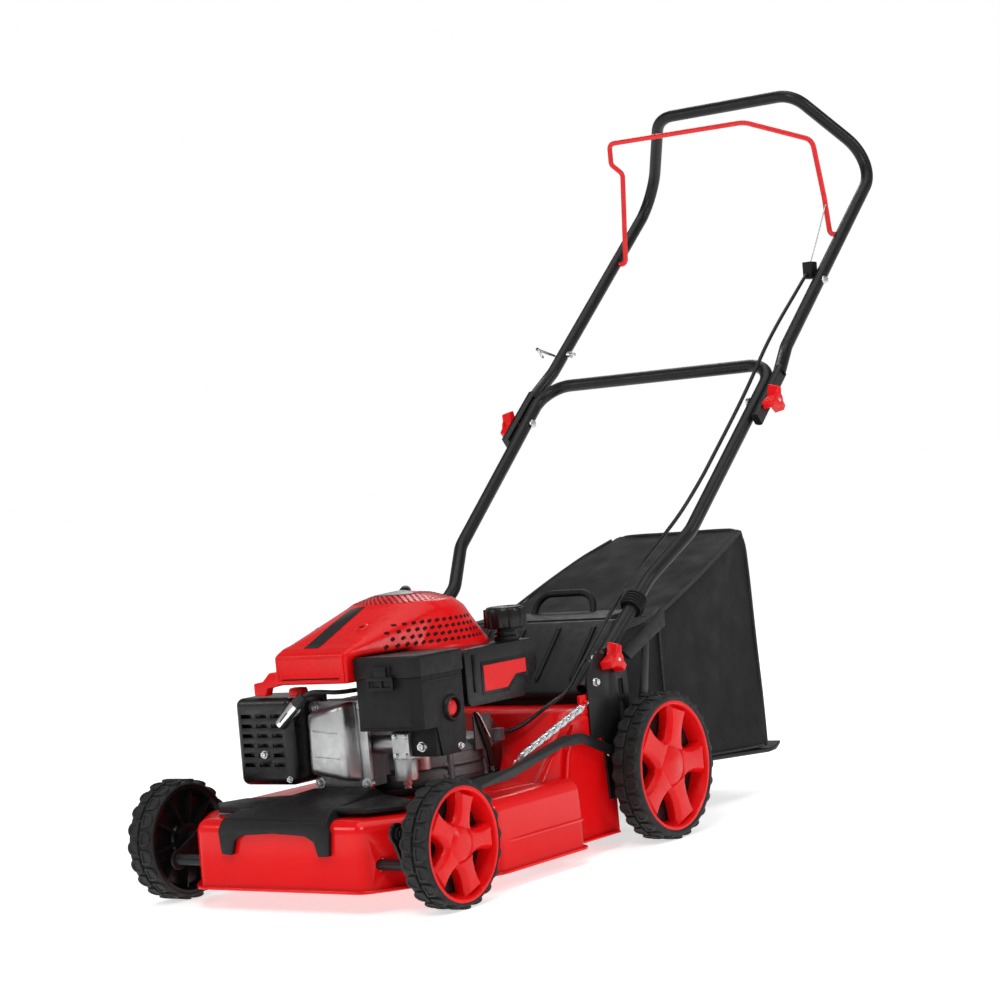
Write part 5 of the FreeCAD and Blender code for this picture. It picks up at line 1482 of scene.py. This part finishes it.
class MOWER_OT_handle(bpy.types.Operator):
    """The folding tubes with their bolts and knobs, the stop bar and the rope guide"""
    bl_idname = "mower.handle"
    bl_label = "Handle"

    def execute(self, context):
        copy_nodes("handle")
        for name in ("upper_left", "upper_right", "lower_left", "lower_right"):
            self.make_knob(name)
        self.make_collar()
        make_screws("cable_end_bolts", "upper_bar",
                    ((185.9, 1057, 772, -LEFT, 3.6), (220.2, 1049, 759.7, LEFT, 4.6)))
        return {"FINISHED"}

    def make_knob(self, name):
        """A winged clamp knob with a bolt's end in its middle."""
        node = "knob_" + name
        low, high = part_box(node)
        side = 1.0 if (low + high).x > 0 else -1.0
        foot = low.x if side > 0 else high.x
        centre = at(0, *KNOB_AXES[name.split("_")[0]])
        centre.x = foot
        place = outwards(centre, side)
        bm = bmesh.new()
        add_wings(bm, 500 * (high.z - low.z), 1000 * (high.x - low.x), place)
        make_piece("wing_knob_" + name, bm, ["red"], node, [node], 40)
        bm = bmesh.new()
        boss = [(3.2, 13), (10.5, 13), (11.5, 14), (11.5, 15.5), (9.5, 17.4), (3.2, 17.4), (3.2, 13)]
        add_turned(bm, metres(boss), place, 32)
        make_piece("knob_boss_" + name, bm, ["red"], node)

    def make_collar(self):
        """The ribbed collar that clips the cable to the left leg."""
        leg = (at(168, 565, 348) - at(168, 380, 215.4)).normalized()
        profile = [(9.7, 0), (14.6, 0), (15.2, 1)]
        for rib in range(4):
            z = 3.0 + 5.0 * rib
            profile += [(15.2, z), (17, z + 0.8), (17, z + 2.6), (15.2, z + 3.4)]
        profile += [(15.2, 23.4), (14.4, 24), (9.7, 24), (9.7, 0)]
        bm = bmesh.new()
        add_turned(bm, metres(profile), looking(at(168, 512, 310), leg), 48)
        make_piece("cable_collar", bm, ["black"], "lower_bar", ["cable_clip"], 30)


SHEATH = 2.8                    # the stop cable's radius
PULL_WIRE = 0.9
UPPER_CABLE = ((193, 1043.8, 770.5), (191, 1003, 738), (190, 955, 702), (190, 906, 663), (191, 858, 619),
               (191, 812, 578), (188, 760, 531), (187, 705, 485))
LOWER_CABLE = ((187, 705, 485), (184, 655, 443), (170, 606, 401), (154, 566, 366), (148, 524, 333),
               (149, 480, 299), (150, 438, 268), (152, 398, 240), (152, 366, 213), (146, 332, 203),
               (136, 308, 189), (120, 290, 176), (105, 278.6, 172.6))
BAIL_WIRE = ((193, 1062, 790.6), (192.3, 1085, 820), (191.5, 1108, 851), (190.8, 1130.2, 881))


# Each length of sheath: its name and route, the CAD nodes it stands for, and the two bodies it
# passes between with where that begins and ends.
SHEATHS = (
    ("stop_sheath_upper", UPPER_CABLE, ["stop_cable_upper"], ("lower_bar", "upper_bar"),
     (191, 800, 568), (190, 900, 658)),
    ("stop_sheath_lower", LOWER_CABLE, ["stop_cable_lower", "stop_cable_deck"],
     ("mower", "lower_bar"), (152, 366, 213), (149, 500, 314)),
)


class MOWER_OT_cables(bpy.types.Operator):
    """The stop cable's two lengths of sheath along their routes, and the pull wire from the stop bar"""
    bl_idname = "mower.cables"
    bl_label = "Stop cable"

    def execute(self, context):
        for name, route, nodes, bodies, start, end in SHEATHS:
            sheath = cable(name, [at(*point) for point in route], mm(SHEATH), "smooth_black", 14)
            dress(sheath, nodes)
            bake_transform(sheath)
        wire = cable("bail_pull_wire", [at(*point) for point in BAIL_WIRE], mm(PULL_WIRE), "zinc", 10, 2)
        dress(wire)
        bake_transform(wire)
        return {"FINISHED"}


# ---- stage --------------------------------------------------------------------------
FLOOR_SIZE = 60.0
# Each softbox: its name, place and size in metres, and its power in watts.
SOFTBOXES = (
    ("key", (1.2, -2.4, 2.8), 0.9, 34),
    ("side", (3.0, 0.6, 2.2), 0.9, 22),
    ("front", (-2.0, -2.4, 2.0), 0.8, 14),
    ("back", (-1.4, 2.4, 2.6), 1.2, 20),
)
LIGHTS_AIM = Vector((0, 0, 0.3))
WALL_GLOW, CEILING_GLOW = 0.42, 0.12
WALL_TOP, CEILING_FOOT = 0.3, 0.6           # heights on a unit sphere round the stage
SUN_POWER = 1.15
SUN_SPREAD = 60.0               # degrees


class MOWER_OT_stage(bpy.types.Operator):
    """A pale floor, soft studio lights and the camera"""
    bl_idname = "mower.stage"
    bl_label = "Stage"

    def execute(self, context):
        self.make_floor()
        self.make_world(context)
        self.make_lights()
        self.make_camera(context)
        return {"FINISHED"}

    def make_floor(self):
        """A wide floor that isn't part of the mower."""
        bm = bmesh.new()
        bmesh.ops.create_grid(bm, x_segments=1, y_segments=1, size=FLOOR_SIZE)
        make_piece("studio_floor", bm, ["floor"], None)

    def make_world(self, context):
        """Bright walls and a dimmer ceiling as light, and plain white where the camera sees it."""
        world = bpy.data.worlds.new("studio")
        world.use_nodes = True
        nodes, links = world.node_tree.nodes, world.node_tree.links
        split = nodes.new("ShaderNodeSeparateXYZ")
        fade = nodes.new("ShaderNodeMapRange")
        for name, value in (("From Min", WALL_TOP), ("From Max", CEILING_FOOT),
                            ("To Min", WALL_GLOW), ("To Max", CEILING_GLOW)):
            fade.inputs[name].default_value = value
        links.new(nodes.new("ShaderNodeTexCoord").outputs["Generated"], split.inputs["Vector"])
        links.new(split.outputs["Z"], fade.inputs["Value"])
        seen = nodes.new("ShaderNodeMath")
        seen.operation = "MAXIMUM"
        links.new(nodes.new("ShaderNodeLightPath").outputs["Is Camera Ray"], seen.inputs[0])
        links.new(fade.outputs["Result"], seen.inputs[1])
        links.new(seen.outputs["Value"], nodes["Background"].inputs["Strength"])
        nodes["Background"].inputs["Color"].default_value = (1.0, 1.0, 1.0, 1.0)
        context.scene.world = world
        context.scene.view_settings.view_transform = "Standard"

    def make_lights(self):
        """The softboxes round the mower, and a broad sun overhead."""
        for softbox in SOFTBOXES:
            self.add_light(*softbox)
        sun = bpy.data.lights.new("overhead", "SUN")
        sun.energy = SUN_POWER
        sun.angle = math.radians(SUN_SPREAD)
        add_object("overhead", sun)

    def add_light(self, name, place, size, power):
        """One softbox, aimed at the mower's middle."""
        lamp = bpy.data.lights.new(name, "AREA")
        lamp.size = size
        lamp.energy = power
        light = add_object(name, lamp)
        light.location = place
        aim = LIGHTS_AIM - light.location
        light.rotation_euler = aim.to_track_quat("-Z", "Y").to_euler()

    def make_camera(self, context):
        """The studio camera, from its turn, rise and roll."""
        data = bpy.data.cameras.new("studio_camera")
        data.lens = VIEW_LENS
        data.sensor_width = 36.0
        camera = add_object("studio_camera", data)
        level = math.cos(VIEW_RISE)
        back = Vector((math.sin(VIEW_TURN) * level, -math.cos(VIEW_TURN) * level, math.sin(VIEW_RISE)))
        right = Vector((math.cos(VIEW_TURN), math.sin(VIEW_TURN), 0))
        level_turn = Matrix((right, back.cross(right), back)).transposed()
        turn = level_turn @ Matrix.Rotation(VIEW_ROLL, 3, "Z")
        camera.matrix_world = Matrix.Translation(VIEW_PLACE) @ turn.to_4x4()
        context.scene.camera = camera


# ---- panel and registration ---------------------------------------------------------
STEPS = (MOWER_OT_stage, MOWER_OT_cables, MOWER_OT_wheels, MOWER_OT_deck, MOWER_OT_adjuster,
         MOWER_OT_cutter, MOWER_OT_engine, MOWER_OT_cover, MOWER_OT_intake, MOWER_OT_bag,
         MOWER_OT_handle)


class MOWER_PT_panel(bpy.types.Panel):
    """Lists the mower's pieces"""
    bl_label = "Push lawn mower"
    bl_idname = "MOWER_PT_panel"
    bl_space_type = "VIEW_3D"
    bl_region_type = "UI"
    bl_category = "Mower"

    def draw(self, context):
        for group in (context.scene.mower_sizes, context.scene.mower_colours):
            for name in group.__annotations__:
                self.layout.prop(group, name)
        for step in STEPS:
            self.layout.operator(step.bl_idname)


CLASSES = (MowerSizes, MowerColours, *STEPS, MOWER_PT_panel)


def register():
    for item in CLASSES:
        bpy.utils.register_class(item)
    bpy.types.Scene.mower_sizes = bpy.props.PointerProperty(type=MowerSizes)
    bpy.types.Scene.mower_colours = bpy.props.PointerProperty(type=MowerColours)


def unregister():
    del bpy.types.Scene.mower_colours
    del bpy.types.Scene.mower_sizes
    for item in reversed(CLASSES):
        bpy.utils.unregister_class(item)


def run_step(step):
    group, name = step.bl_idname.split(".")
    getattr(getattr(bpy.ops, group), name)()


def main():
    register()
    for step in STEPS:
        run_step(step)


if __name__ == "__main__":
    main()
